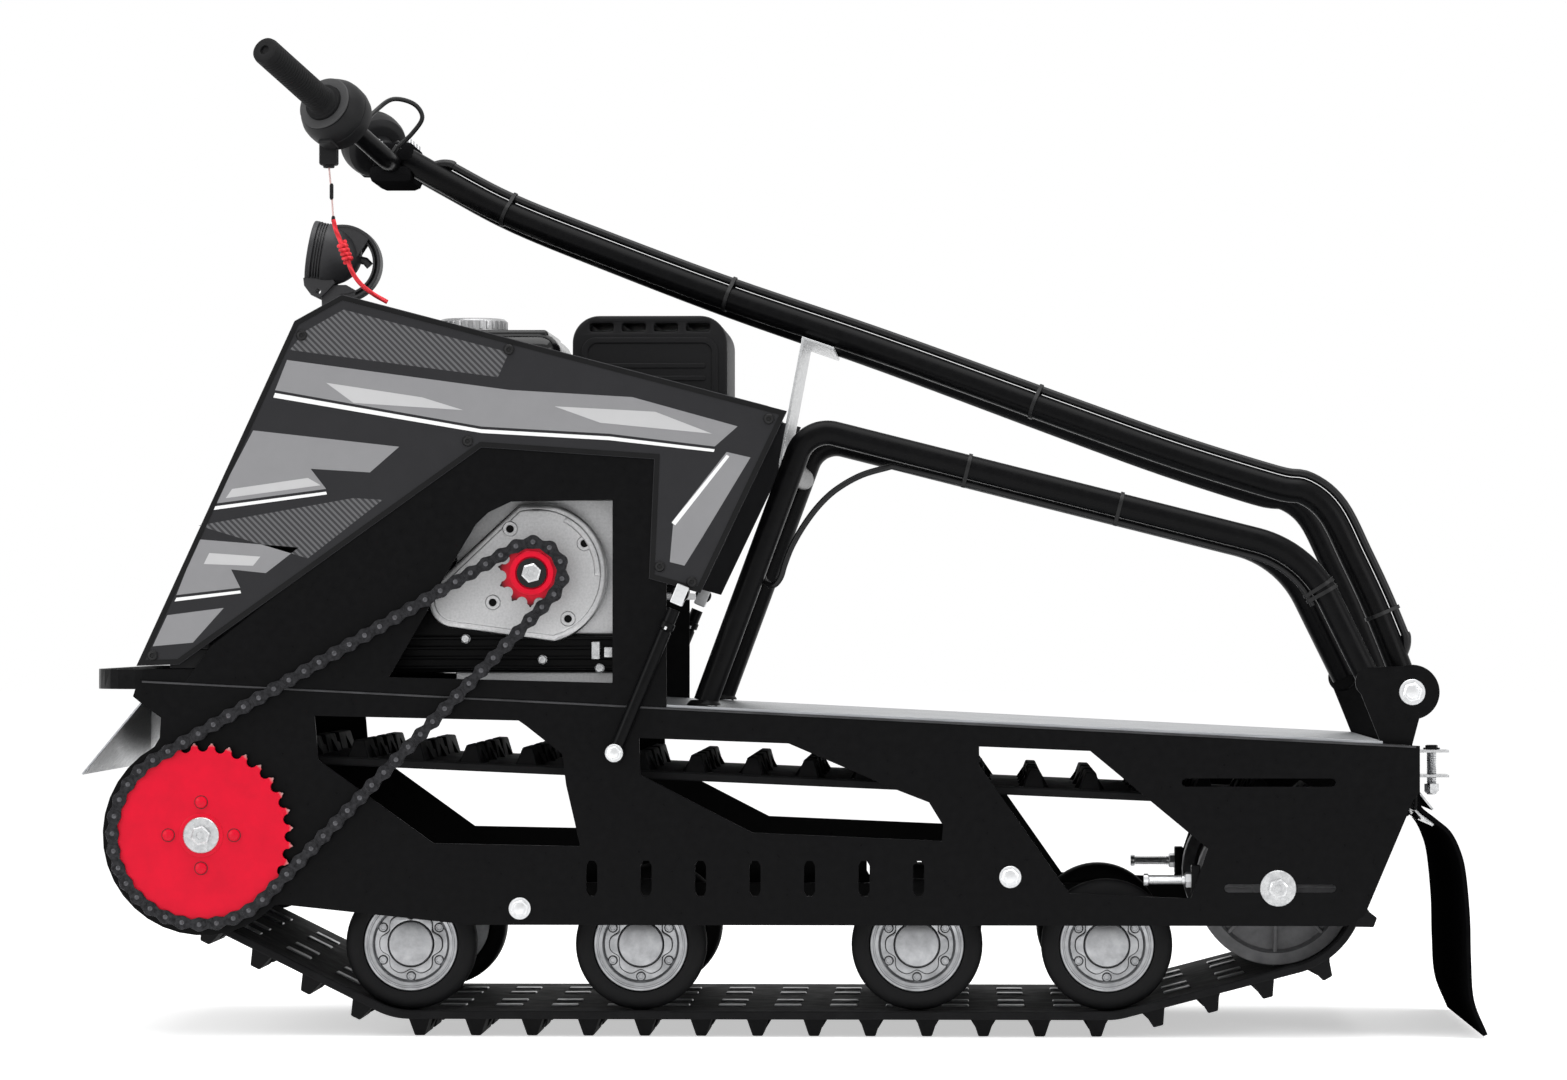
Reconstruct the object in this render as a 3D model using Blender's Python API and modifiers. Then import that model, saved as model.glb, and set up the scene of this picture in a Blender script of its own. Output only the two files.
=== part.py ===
"""Motorized snow tow: a wide track between windowed side plates, an open engine
under a hollow cowl, a roller chain drive and a long folding handle.

Metres. +X points to the rear, -Y is the left side with the chain, +Z is up.
The ground is Z = 0 and the whole machine is centred over the origin."""

import math

import bmesh
import bpy
from mathutils import Matrix, Vector

# Fits shared by all pieces
CLEARANCE = 0.0003
OVERRUN = 0.01
MERGE = 0.00001
ROUND_STEPS = 20
SMALL_STEPS = 8
MITRE_SHARE = 0.3
AXLE_STEPS = 16
BOLT_STEPS = 12

# Side plates
PLATE_THICKNESS = 0.003
PLATE_FRONT_X = -0.712
PLATE_LENGTH = 1.404
PLATE_BOTTOM_Z = 0.124
PLATE_HEIGHT = 0.267
PLATE_TOP_REAR_Z = 0.320
NOSE_RADIUS = 0.110
NOSE_ARC_START = math.radians(118.9)
NOSE_ARC_END = math.radians(315.4)
PLATE_HORN_SHARES = [(0.004, 1.0), (0.0, 0.933), (0.008, 0.899), (0.022, 0.846), (0.021, 0.764)]
NOSE_FOOT_REACH = 0.086
NOSE_FOOT_SHARE = 0.082
PLATE_REST_SHARES = [
    (0.264, 0.0), (0.943, 0.0), (0.957, 0.041), (0.995, 0.513), (1.0, 0.551), (1.0, 0.723),
]
FRONT_WINDOW_SHARES = [
    (0.1043, 0.854), (0.2946, 0.835), (0.3018, 0.813), (0.3353, 0.697),
    (0.3389, 0.573), (0.3521, 0.322), (0.2156, 0.333), (0.1079, 0.674),
]
MIDDLE_WINDOW_SHARES = [
    (0.4071, 0.764), (0.5460, 0.742), (0.6477, 0.551), (0.6765, 0.502),
    (0.6896, 0.408), (0.6884, 0.345), (0.5125, 0.378), (0.4083, 0.614),
]
REAR_WINDOW_SHARES = [
    (0.7231, 0.73), (0.8261, 0.712), (0.9350, 0.315), (0.9194, 0.112),
    (0.8069, 0.131), (0.7231, 0.655),
]
UPPER_SLOT_SHARES = [0.819, 0.932, 0.584]
TENSION_FRONT_REACH = 0.054
TENSION_REAR_REACH = 0.0585
VENT_ROW_SHARES = [0.358, 0.612, 0.191]
SLOT_HEIGHT = 0.009
VENT_COUNT = 7
VENT_WIDTH = 0.012
VENT_HEIGHT = 0.040

# Deck, bumper and deflector
SHEET_THICKNESS = 0.002
DECK_FRONT_INSET = 0.097
DECK_REAR_INSET = 0.040
DECK_LIP = 0.022
DECK_PROUD = 0.003
BUMPER_FRONT_X = -0.758
BUMPER_REAR_X = -0.622
BUMPER_BOTTOM_Z = 0.381
BUMPER_HEIGHT = 0.022
BUMPER_THICKNESS = 0.005
BUMPER_CORNER = 0.060
DEFLECTOR_TIP_X = -0.768
DEFLECTOR_TIP_Z = 0.288
DEFLECTOR_KNEE_X = -0.692
CROSSMEMBER_INSET = 0.0045
CROSSMEMBER_THICKNESS = 0.003
CROSSMEMBER_BOTTOM_Z = 0.250
CROSSMEMBER_HEIGHT = 0.062

# Axles and running gear
DRIVE_INSET = 0.077
DRIVE_Z = 0.222
DRIVE_WHEEL_RADIUS = 0.081
REAR_INSET = 0.154
REAR_Z = 0.165
IDLER_RADIUS = 0.087
ROAD_WHEEL_SHARES = [0.1910, 0.4066, 0.6650, 0.8423]
ROAD_WHEEL_RADIUS = 0.072
ROAD_WHEEL_INSET = 0.030
TYRE_WIDTH = 0.040
TYRE_DEPTH = 0.020
TYRE_STEPS = 18
RIM_WIDTH = 0.034
RIM_LIP = 0.006
HUB_RADIUS = 0.020
HUB_CAP = 0.006
ROAD_SHAFT_RADIUS = 0.008
DRIVE_SHAFT_RADIUS = 0.0125
DRIVE_WHEEL_WIDTH = 0.030
DRIVE_WHEEL_Y = 0.110
AXLE_HUB_RADIUS = 0.030
IDLER_WIDTH = 0.036
IDLER_INSET = 0.050
REAR_SHAFT_RADIUS = 0.012
TENSION_BOLT_RADIUS = 0.004
WASHER_RADIUS = 0.0196
WASHER_THICKNESS = 0.003
NUT_RADIUS = 0.011
NUT_HEIGHT = 0.007

# Suspension
RAIL_INSET = 0.032
RAIL_THICKNESS = 0.005
RAIL_BOTTOM_Z = 0.128
RAIL_TOP_Z = 0.150
RAIL_OVERHANG = 0.030
EAR_HALF = 0.018
EAR_DEPTH = 0.015
FRONT_SHAFT_SHARES = (0.2958, 0.0674)
REAR_SHAFT_SHARES = (0.7519, 0.1985)
CROSS_SHAFT_RADIUS = 0.007
CROSS_HEAD_RADIUS = 0.012
CROSS_HEAD_HEIGHT = 0.006

# Track
TRACK_WIDTH = 0.500
TRACK_SIDE_GAP = 0.027
BELT_THICKNESS = 0.009
LUG_HEIGHT = 0.0193
LUG_PITCH = 0.062
LUG_BASE = 0.024
LUG_TIP = 0.011
LUG_SET_IN = 0.012
LUG_TAPER = 0.020
LUG_PHASE_SHARE = 0.69
ARC_STEP = math.radians(10)

# Chain drive
CHAIN_PITCH = 0.01905
CHAIN_GAP = 0.0125
LINK_HEIGHT = 0.0155
LINK_PLATE = 0.0022
ROLLER_LENGTH = 0.0078
ROLLER_RADIUS = 0.0058
ROLLER_SIDES = 4
SPROCKET_THICKNESS = 0.0052
ENGINE_TOOTH_COUNT = 11
DRIVEN_TOOTH_COUNT = 32
TOOTH_HEIGHT = 0.0038
TIP_SHARE = 0.40
FLANK_PLAY = 0.0009
SHAFT_X = -0.274
SHAFT_Z = 0.508
SHAFT_RADIUS = 0.010
SHAFT_WASHER_RADIUS = 0.0165

# Cowl
COWL_FRONT_X = -0.708
COWL_LENGTH = 0.712
COWL_BASE_Z = 0.4065
COWL_HEIGHT = 0.406
COWL_THICKNESS = 0.0022
COWL_FRONT_SHARES = [(0.0, 0.0), (0.243, 0.929), (0.316, 1.0)]
COWL_TAIL_SHARES = [(1.0, 0.685)]
COWL_CUT_SHARES = [(0.867, 0.196), (0.788, 0.235), (0.796, 0.556), (0.531, 0.588), (0.066, 0.004)]
SHELL_END_SHARE = 0.969
SHELL_FOOT_SHARES = (0.006, 0.010)
ENGINE_HATCH_SHARES = [0.375, 0.925]
ENGINE_HATCH_HALF = 0.165
INNER_PANEL_SHARES = [(0.075, -0.03), (0.115, 0.055), (0.525, 0.615), (0.815, 0.600), (0.815, -0.118)]
INNER_WINDOW_SHARES = [
    (0.732, 0.447), (0.732, -0.045), (0.389, -0.030), (0.444, 0.137), (0.470, 0.228), (0.522, 0.381),
    (0.541, 0.413), (0.576, 0.442),
]

# Engine
BLOCK_REAR_X = -0.185
BLOCK_FRONT_X = -0.365
BLOCK_TOP_Z = 0.590
BLOCK_LEFT_Y = -0.195
BLOCK_RIGHT_Y = 0.160
FIN_COUNT = 6
FIN_PITCH = 0.018
FIN_THICKNESS = 0.007
FIN_DEPTH = 0.070
FIN_START_Z = 0.480
COVER_THICKNESS = 0.026
COVER_BIG_RADIUS = 0.078
COVER_SMALL_RADIUS = 0.030
COVER_SMALL_X = -0.364
COVER_SMALL_Z = 0.478
TANK_X = -0.350
TANK_LENGTH = 0.190
TANK_WIDTH = 0.250
TANK_BOTTOM_Z = 0.660
TANK_HEIGHT = 0.122
TANK_ROUND = 0.022
CAP_X = -0.362
CAP_RADIUS = 0.040
CAP_HEIGHT = 0.017
GUARD_FRONT_X = -0.241
GUARD_LENGTH = 0.173
GUARD_BOTTOM_Z = 0.620
GUARD_TOP_Z = 0.797
GUARD_WIDTH = 0.240
GUARD_ROUND = 0.030
GUARD_SLOT_COUNT = 4
GUARD_SLOT_LENGTH = 0.027
GUARD_SLOT_HEIGHT = 0.008
GUARD_SLOT_PITCH = 0.036
GUARD_SLOT_DROP = 0.013
NECK_HALF = 0.030
STARTER_RADIUS = 0.085
STARTER_DEPTH = 0.045
STARTER_DOME = 0.060

# Fixed loop
TUBE_RADIUS = 0.0135
LOOP_INSET = 0.045
LOOP_FOOT_X = -0.087
LOOP_FRONT_X = 0.025
LOOP_FRONT_Z = 0.669
LOOP_FRONT_BEND = 0.035
LOOP_REAR_INSET = 0.121
LOOP_REAR_Z = 0.531
LOOP_REAR_BEND = 0.120
LOOP_END_INSET = 0.051
LOOP_END_Z = 0.389
CROSS_TUBE_SHARE = 0.845
CROSS_TUBE_SLIM_SHARE = 0.96
PIVOT_INSET = 0.006
PIVOT_Z = 0.378
BRACKET_RADIUS = 0.030
BRACKET_SMALL_RADIUS = 0.017
BRACKET_THICKNESS = 0.005
BRACKET_NECK = 0.034
PIVOT_RADIUS = 0.006
PIVOT_HEAD_RADIUS = 0.0142
PIVOT_HEAD_HEIGHT = 0.008
REST_THICKNESS = 0.003
REST_HALF_WIDTH = 0.150
REST_FRONT_X = 0.018
REST_REAR_X = 0.052
REST_DROP = 0.012
STEM_UPRIGHT_SHARE = 1.08

# Braces beside the cowl
BRACE_GAP = 0.011
BRACE_FOOT_SHARES = (0.376, 0.704)
BRACE_TOP_SHARES = (0.837, 0.196)
BRACE_RADIUS = 0.0072
BRACE_ROD_RADIUS = 0.0045
BRACE_COLLAR_SHARE = 0.80
BRACE_EYE_RADIUS = 0.011

# Headlamp
LAMP_REACH = 0.038
LAMP_RISE = 0.0135
LAMP_TILT = math.radians(9.6)
LAMP_RADIUS = 0.036
LAMP_DEPTH = 0.060
LAMP_RIM = 0.018
LENS_THICKNESS = 0.004
YOKE_SHARE = 0.278
YOKE_RISE = 0.0505
YOKE_RADIUS = 0.0435
YOKE_THICKNESS = 0.010
YOKE_WIDTH = 0.034
YOKE_FOOT_LENGTH = 0.030
FOOT_WIDTH_SHARE = 0.8
DOME_TURNS = [math.pi / 2 * i / 4 for i in range(1, 5)]

# Hitch and flap
HITCH_WIDTH = 0.050
HITCH_REACH = 0.0565
HITCH_TOP_Z = 0.310
HITCH_DROP = 0.031
HITCH_PLATE = 0.003
HITCH_PIN_INSET = 0.018
HITCH_PIN_RADIUS = 0.006
HITCH_PIN_BOTTOM_Z = 0.259
HITCH_PIN_HEAD = 0.010
HITCH_PIN_HEAD_HEIGHT = 0.005
FLAP_THICKNESS = 0.005
FLAP_LENGTH = 0.268
FLAP_REACH = 0.0735
FLAP_TOP_Z = 0.2715
FLAP_SHARES = [
    (0.0, 0.0), (0.02, 0.07), (0.25, 0.125), (0.46, 0.175), (0.60, 0.25), (0.68, 0.34),
    (0.74, 0.52), (0.755, 0.69), (0.80, 0.86), (1.0, 1.0),
]

# Folding handle
STEM_RADIUS = 0.014
STEM_INSET = 0.040
STEM_HEAD_HALF_GAP = 0.050
STEM_REACH = 1.136
STEM_RISE = 0.609
STEM_KNEE_SHARE = 0.13
STEM_SHARES = [
    (0.0, 0.0), (0.018, 0.087), (0.035, 0.164), (0.054, 0.240), (0.076, 0.322), (0.100, 0.360),
    (0.130, 0.371), (0.228, 0.429), (0.336, 0.502), (0.513, 0.624), (0.663, 0.721), (0.790, 0.811),
    (0.884, 0.882), (0.949, 0.946), (1.0, 1.0),
]
STEM_STEPS = 2
SLEEVE_RADIUS = 0.018
HEAD_LENGTH = 0.050
HEAD_HALF_WIDTH = 0.068
HEAD_HEIGHT = 0.046
BAR_RADIUS = 0.011
BAR_DROP = 0.014
BAR_KNEE_Y = 0.115
BAR_SWEEP = 0.110
BAR_END_Y = 0.338
BAR_LIFT = 0.101
BAR_BEND = 0.040
GRIP_RADIUS = 0.0155
GRIP_LENGTH = 0.128
GRIP_FLANGE_RADIUS = 0.021
GRIP_FLANGE = 0.006
GRIP_CAP = 0.004
HOUSING_RADIUS = 0.038
HOUSING_LENGTH = 0.048
HOUSING_FLANGE_RADIUS = 0.030
DRUM_SHARES = [0.3, 0.8]
SWITCH_SIZE = 0.020
SWITCH_HEIGHT_SHARE = 1.6
SWITCH_REACH = 0.056
SWITCH_DROP = 0.013
CABLE_RADIUS = 0.0045
FRAME_CABLE_RADIUS = 0.0035
CABLE_SIDES = 2
CABLE_STEPS = 6

# The lanyard's route, in shares of the way from the switch down to the cowl
LANYARD_RADIUS = 0.0025
LANYARD_Y = -0.200
LANYARD_TOP_GAP = 0.0005
LANYARD_END_SHARE = 0.375
LANYARD_END_GAP = 0.007
LANYARD_SHARES = [
    (0.0, 0.0), (0.023, 0.103), (0.046, 0.189), (0.062, 0.295), (0.077, 0.394), (0.123, 0.474), (0.2, 0.553),
    (0.277, 0.632), (0.338, 0.712), (0.415, 0.791), (0.554, 0.871), (0.769, 0.944), (1.0, 1.0),
]

# The frame cable's slack bow as shares of its size, from the loop's front corner:
# to the rear, inwards and down. It ends beside the loop's post
BOW_SIZE = 0.1
BOW_SHARES = [
    (0.93, 0.0, 0.435), (0.60, 0.0, 0.53), (0.33, 0.0, 0.68), (0.14, 0.0, 0.85), (-0.03, 0.0, 1.07),
    (-0.17, 0.0, 1.31), (-0.25, 0.01, 1.51), (-0.30, 0.04, 1.66), (-0.38, 0.09, 1.74),
    (-0.47, 0.145, 1.70), (-0.51, 0.175, 1.57), (-0.49, 0.177, 1.37), (-0.41, 0.177, 1.09),
]

for leftover in list(bpy.data.objects):
    bpy.data.objects.remove(leftover)
PARTS = bpy.data.collections.new("snow_tow")
CUTTERS = bpy.data.collections.new("snow_tow_cutters")
for collection in (PARTS, CUTTERS):
    bpy.context.scene.collection.children.link(collection)

AXIS_X = Vector((1, 0, 0))
AXIS_Y = Vector((0, 1, 0))
AXIS_Z = Vector((0, 0, 1))


def material(name, colour, roughness, metallic=0.0):
    made = bpy.data.materials.new(name)
    made.use_nodes = True
    shader = made.node_tree.nodes["Principled BSDF"]
    shader.inputs["Base Color"].default_value = (*colour, 1.0)
    shader.inputs["Roughness"].default_value = roughness
    shader.inputs["Metallic"].default_value = metallic
    made.diffuse_color = (*colour, 1.0)
    return made


BLACK_PAINT = material("black_paint", (0.010, 0.010, 0.011), 0.35)
BLACK_PLASTIC = material("black_plastic", (0.014, 0.014, 0.015), 0.50)
BLACK_RUBBER = material("black_rubber", (0.012, 0.012, 0.012), 0.80)
BARE_ALUMINIUM = material("bare_aluminium", (0.55, 0.56, 0.58), 0.35, 1.0)
ZINC_STEEL = material("zinc_steel", (0.60, 0.60, 0.60), 0.35, 1.0)
CHAIN_STEEL = material("chain_steel", (0.035, 0.035, 0.038), 0.40, 1.0)
RED_PAINT = material("red_paint", (0.75, 0.010, 0.025), 0.40)
RED_CORD = material("red_cord", (0.70, 0.015, 0.030), 0.75)
COWL_GREY = material("cowl_grey", (0.075, 0.075, 0.080), 0.45)
LAMP_GLASS = material("lamp_glass", (0.80, 0.82, 0.85), 0.05)


def finish(thing, name, surface, collection=PARTS):
    thing.name = name
    thing.data.name = name
    thing.data.materials.clear()
    thing.data.materials.append(surface)
    for holder in list(thing.users_collection):
        holder.objects.unlink(thing)
    collection.objects.link(thing)
    return thing


def as_cutter(thing, name):
    finish(thing, name, BLACK_PAINT, CUTTERS)
    thing.hide_render = True
    thing.display_type = "WIRE"
    return thing


def frame_matrix(origin, across, up):
    """World matrix of a flat sketch whose x runs across and whose y runs up."""
    across = across.normalized()
    out = across.cross(up.normalized())
    up = out.cross(across)
    turn = Matrix((across, up, out)).transposed()
    return Matrix.Translation(origin) @ turn.to_4x4()


def sketch_mesh(loops, depth):
    """The closed mesh of a flat outline with holes, depth thick about its plane."""
    curve = bpy.data.curves.new("sketch", "CURVE")
    curve.dimensions = "2D"
    curve.fill_mode = "BOTH"
    curve.extrude = depth / 2
    for loop in loops:
        spline = curve.splines.new("POLY")
        spline.points.add(len(loop) - 1)
        for point, (x, y) in zip(spline.points, loop):
            point.co = (x, y, 0, 1)
        spline.use_cyclic_u = True
    return mesh_of(curve)


def mesh_of(curve):
    """A curve's own surface as a welded mesh, with the curve removed."""
    holder = bpy.data.objects.new("sketch", curve)
    bpy.context.scene.collection.objects.link(holder)
    bpy.context.view_layer.update()
    seen = holder.evaluated_get(bpy.context.evaluated_depsgraph_get())
    mesh = bpy.data.meshes.new_from_object(seen)
    bpy.data.objects.remove(holder)
    bpy.data.curves.remove(curve)
    shape = bmesh.new()
    shape.from_mesh(mesh)
    bmesh.ops.remove_doubles(shape, verts=shape.verts, dist=MERGE)
    bmesh.ops.recalc_face_normals(shape, faces=shape.faces)
    shape.to_mesh(mesh)
    shape.free()
    return mesh


def sheet(name, loops, depth, origin, surface, across=AXIS_X, up=AXIS_Z):
    """A flat outline with holes, standing in the plane of across and up."""
    thing = bpy.data.objects.new(name, sketch_mesh(loops, depth))
    thing.matrix_world = frame_matrix(Vector(origin), across, up)
    return finish(thing, name, surface)


def upright(name, loops, y, depth, surface):
    """A sheet in the side view, its points given as world X and Z."""
    return sheet(name, loops, depth, (0, y, 0), surface)


def tube(name, points, radius, surface, sides=CABLE_SIDES):
    """A round tube with flat ends along world points."""
    curve = bpy.data.curves.new(name, "CURVE")
    curve.dimensions = "3D"
    curve.bevel_depth = radius
    curve.bevel_resolution = sides
    curve.use_fill_caps = True
    spline = curve.splines.new("POLY")
    spline.points.add(len(points) - 1)
    for point, place in zip(spline.points, points):
        point.co = (*place, 1)
    thing = bpy.data.objects.new(name, mesh_of(curve))
    thing.data.shade_smooth()
    thing.data.set_sharp_from_angle(angle=math.radians(40))
    return finish(thing, name, surface)


def turned(name, profile, centre, surface, axis=AXIS_Y, steps=ROUND_STEPS, ring=False):
    """A turned piece. The profile holds (radius, place along the axis) and runs
    down its outer side, from the axis' far end to its near end."""
    mesh = bpy.data.meshes.new(name)
    edges = [(i, i + 1) for i in range(len(profile) - 1)]
    if ring:
        edges.append((len(profile) - 1, 0))
    mesh.from_pydata([(r, 0, h) for r, h in profile], edges, [])
    thing = bpy.data.objects.new(name, mesh)
    spin = thing.modifiers.new("turn", "SCREW")
    spin.steps = steps
    spin.render_steps = steps
    spin.use_merge_vertices = True
    spin.merge_threshold = MERGE
    spin.use_smooth_shade = False
    turn = AXIS_Z.rotation_difference(axis.normalized()).to_matrix().to_4x4()
    thing.matrix_world = Matrix.Translation(centre) @ turn
    return finish(thing, name, surface)


def box(name, low, high, surface):
    """A box between two corners."""
    shape = bmesh.new()
    bmesh.ops.create_cube(shape, size=1)
    size = [b - a for a, b in zip(low, high)]
    middle = [(a + b) / 2 for a, b in zip(low, high)]
    bmesh.ops.scale(shape, vec=size, verts=shape.verts)
    bmesh.ops.translate(shape, vec=middle, verts=shape.verts)
    mesh = bpy.data.meshes.new(name)
    shape.to_mesh(mesh)
    shape.free()
    return finish(bpy.data.objects.new(name, mesh), name, surface)


def combine(target, tool, operation):
    as_cutter(tool, tool.name)
    step = target.modifiers.new(tool.name, "BOOLEAN")
    step.operation = operation
    step.solver = "EXACT"
    step.object = tool


def join(target, *tools):
    for tool in tools:
        combine(target, tool, "UNION")


def cut(target, *tools):
    for tool in tools:
        combine(target, tool, "DIFFERENCE")


def arc(centre, radius, start, end, step=ARC_STEP):
    """Points along an arc, both ends included."""
    count = max(1, math.ceil(abs(end - start) / step))
    turns = [start + (end - start) * i / count for i in range(count + 1)]
    return [around(centre, radius, turn) for turn in turns]


def around(centre, radius, turn):
    return centre[0] + radius * math.cos(turn), centre[1] + radius * math.sin(turn)


def snug(radius, sides):
    """The corner radius of a round hole whose flat sides clear a round pin."""
    return (radius + CLEARANCE) / math.cos(math.pi / sides)


def circle(centre, radius, sides=AXLE_STEPS):
    """A round hole for a pin of this radius."""
    return [around(centre, snug(radius, sides), math.tau * i / sides) for i in range(sides)]


def slot(left, right, z, half):
    """A round-ended slot between two end centres."""
    return arc((left, z), half, math.pi / 2, math.pi * 1.5, math.pi / 4) + arc(
        (right, z), half, -math.pi / 2, math.pi / 2, math.pi / 4
    )


def strip(points, thickness):
    """The outline of a bent sheet seen edge on, with its middle on the points."""
    left, right = [], []
    for i, here in enumerate(points):
        before = points[max(i - 1, 0)]
        after = points[min(i + 1, len(points) - 1)]
        a = (Vector(here) - Vector(before)).normalized() if i else None
        b = (Vector(after) - Vector(here)).normalized() if i < len(points) - 1 else None
        a, b = a or b, b or a
        side = Vector((-(a + b).y, (a + b).x)).normalized()
        reach = thickness / 2 / max(side.dot(Vector((-a.y, a.x))), MITRE_SHARE)
        left.append(tuple(Vector(here) + side * reach))
        right.append(tuple(Vector(here) - side * reach))
    return left + right[::-1]


def bent(points, radii):
    """A path through corner points with each inner corner rounded."""
    path = [Vector(points[0])]
    for before, corner, after, radius in zip(points, points[1:], points[2:], radii):
        before, corner, after = Vector(before), Vector(corner), Vector(after)
        a = (before - corner).normalized()
        b = (after - corner).normalized()
        half = a.angle(b) / 2
        centre = corner + (a + b).normalized() * radius / math.sin(half)
        reach = radius / math.tan(half)
        start = corner + a * reach - centre
        end = corner + b * reach - centre
        count = max(2, math.ceil(start.angle(end) / ARC_STEP))
        for i in range(count + 1):
            share = i / count
            path.append(centre + (start * (1 - share) + end * share).normalized() * radius)
    path.append(Vector(points[-1]))
    return path


def smooth(points, between):
    """More points on a smooth curve through the given ones."""
    points = [Vector(p) for p in points]
    padded = [points[0] * 2 - points[1]] + points + [points[-1] * 2 - points[-2]]
    path = []
    for a, b, c, d in zip(padded, padded[1:], padded[2:], padded[3:]):
        for i in range(between):
            t = i / between
            path.append(
                (b * 2 + (c - a) * t + (a * 2 - b * 5 + c * 4 - d) * t**2 + (b * 3 - a - c * 3 + d) * t**3) / 2
            )
    return path + [points[-1]]


def both_sides(y):
    return (("left", -y), ("right", y))


def on_plate(share_x, share_z):
    return PLATE_FRONT_X + share_x * PLATE_LENGTH, PLATE_BOTTOM_Z + share_z * PLATE_HEIGHT


def between_axles(share_x, share_z):
    return DRIVE_X + share_x * (REAR_X - DRIVE_X), PLATE_BOTTOM_Z + share_z * PLATE_HEIGHT


def on_cowl(share_x, share_z):
    return COWL_FRONT_X + share_x * COWL_LENGTH, COWL_BASE_Z + share_z * COWL_HEIGHT


def belt_radius(wheel):
    """Where the belt's inner corners lie, so that its flats clear a round wheel."""
    return snug(wheel, math.tau / ARC_STEP)


PLATE_OUTER_Y = TRACK_WIDTH / 2 + TRACK_SIDE_GAP + PLATE_THICKNESS
CHAIN_Y = PLATE_OUTER_Y + CHAIN_GAP
BRACE_Y = PLATE_OUTER_Y + BRACE_GAP
LOOP_Y = PLATE_OUTER_Y - LOOP_INSET
STEM_HALF_GAP = LOOP_Y - STEM_INSET
ROAD_WHEEL_Y = TRACK_WIDTH / 2 - ROAD_WHEEL_INSET
RAIL_Y = ROAD_WHEEL_Y - RAIL_INSET
IDLER_Y = TRACK_WIDTH / 2 - IDLER_INSET
PLATE_REAR_X = PLATE_FRONT_X + PLATE_LENGTH
DRIVE_X = PLATE_FRONT_X + DRIVE_INSET
REAR_X = PLATE_REAR_X - REAR_INSET
DECK_FRONT_X = PLATE_FRONT_X + DECK_FRONT_INSET
DECK_REAR_X = PLATE_REAR_X - DECK_REAR_INSET
CROSSMEMBER_X = PLATE_REAR_X - CROSSMEMBER_INSET
HITCH_REAR_X = CROSSMEMBER_X + HITCH_REACH
HITCH_PIN_X = HITCH_REAR_X - HITCH_PIN_INSET
LOOP_REAR_X = PLATE_REAR_X - LOOP_REAR_INSET
LOOP_END_X = PLATE_REAR_X - LOOP_END_INSET
PIVOT_X = PLATE_REAR_X - PIVOT_INSET
BAR_X = PIVOT_X - STEM_REACH
BAR_Z = PIVOT_Z + STEM_RISE - BAR_DROP
SWITCH_X = BAR_X - SWITCH_REACH
SWITCH_BOTTOM_Z = BAR_Z - SWITCH_DROP
YOKE_X, YOKE_Z = on_cowl(YOKE_SHARE, 1)[0], COWL_BASE_Z + COWL_HEIGHT + YOKE_RISE
ROAD_WHEEL_XS = [between_axles(share, 0)[0] for share in ROAD_WHEEL_SHARES]
CROSS_SHAFTS = {"front": between_axles(*FRONT_SHAFT_SHARES), "rear": between_axles(*REAR_SHAFT_SHARES)}
ROAD_WHEEL_Z = belt_radius(ROAD_WHEEL_RADIUS) + BELT_THICKNESS + LUG_HEIGHT
PLATE_TOP_FRONT_Z = PLATE_BOTTOM_Z + PLATE_HEIGHT
TOP_SLOPE = (PLATE_TOP_REAR_Z - PLATE_TOP_FRONT_Z) / PLATE_LENGTH
PLATE_INNER_Y = PLATE_OUTER_Y - PLATE_THICKNESS
INSIDE_HALF = PLATE_INNER_Y - CLEARANCE


def plate_top(x):
    return PLATE_TOP_FRONT_Z + TOP_SLOPE * (x - PLATE_FRONT_X)


def deck_top(x):
    return plate_top(x) + DECK_PROUD


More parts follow.
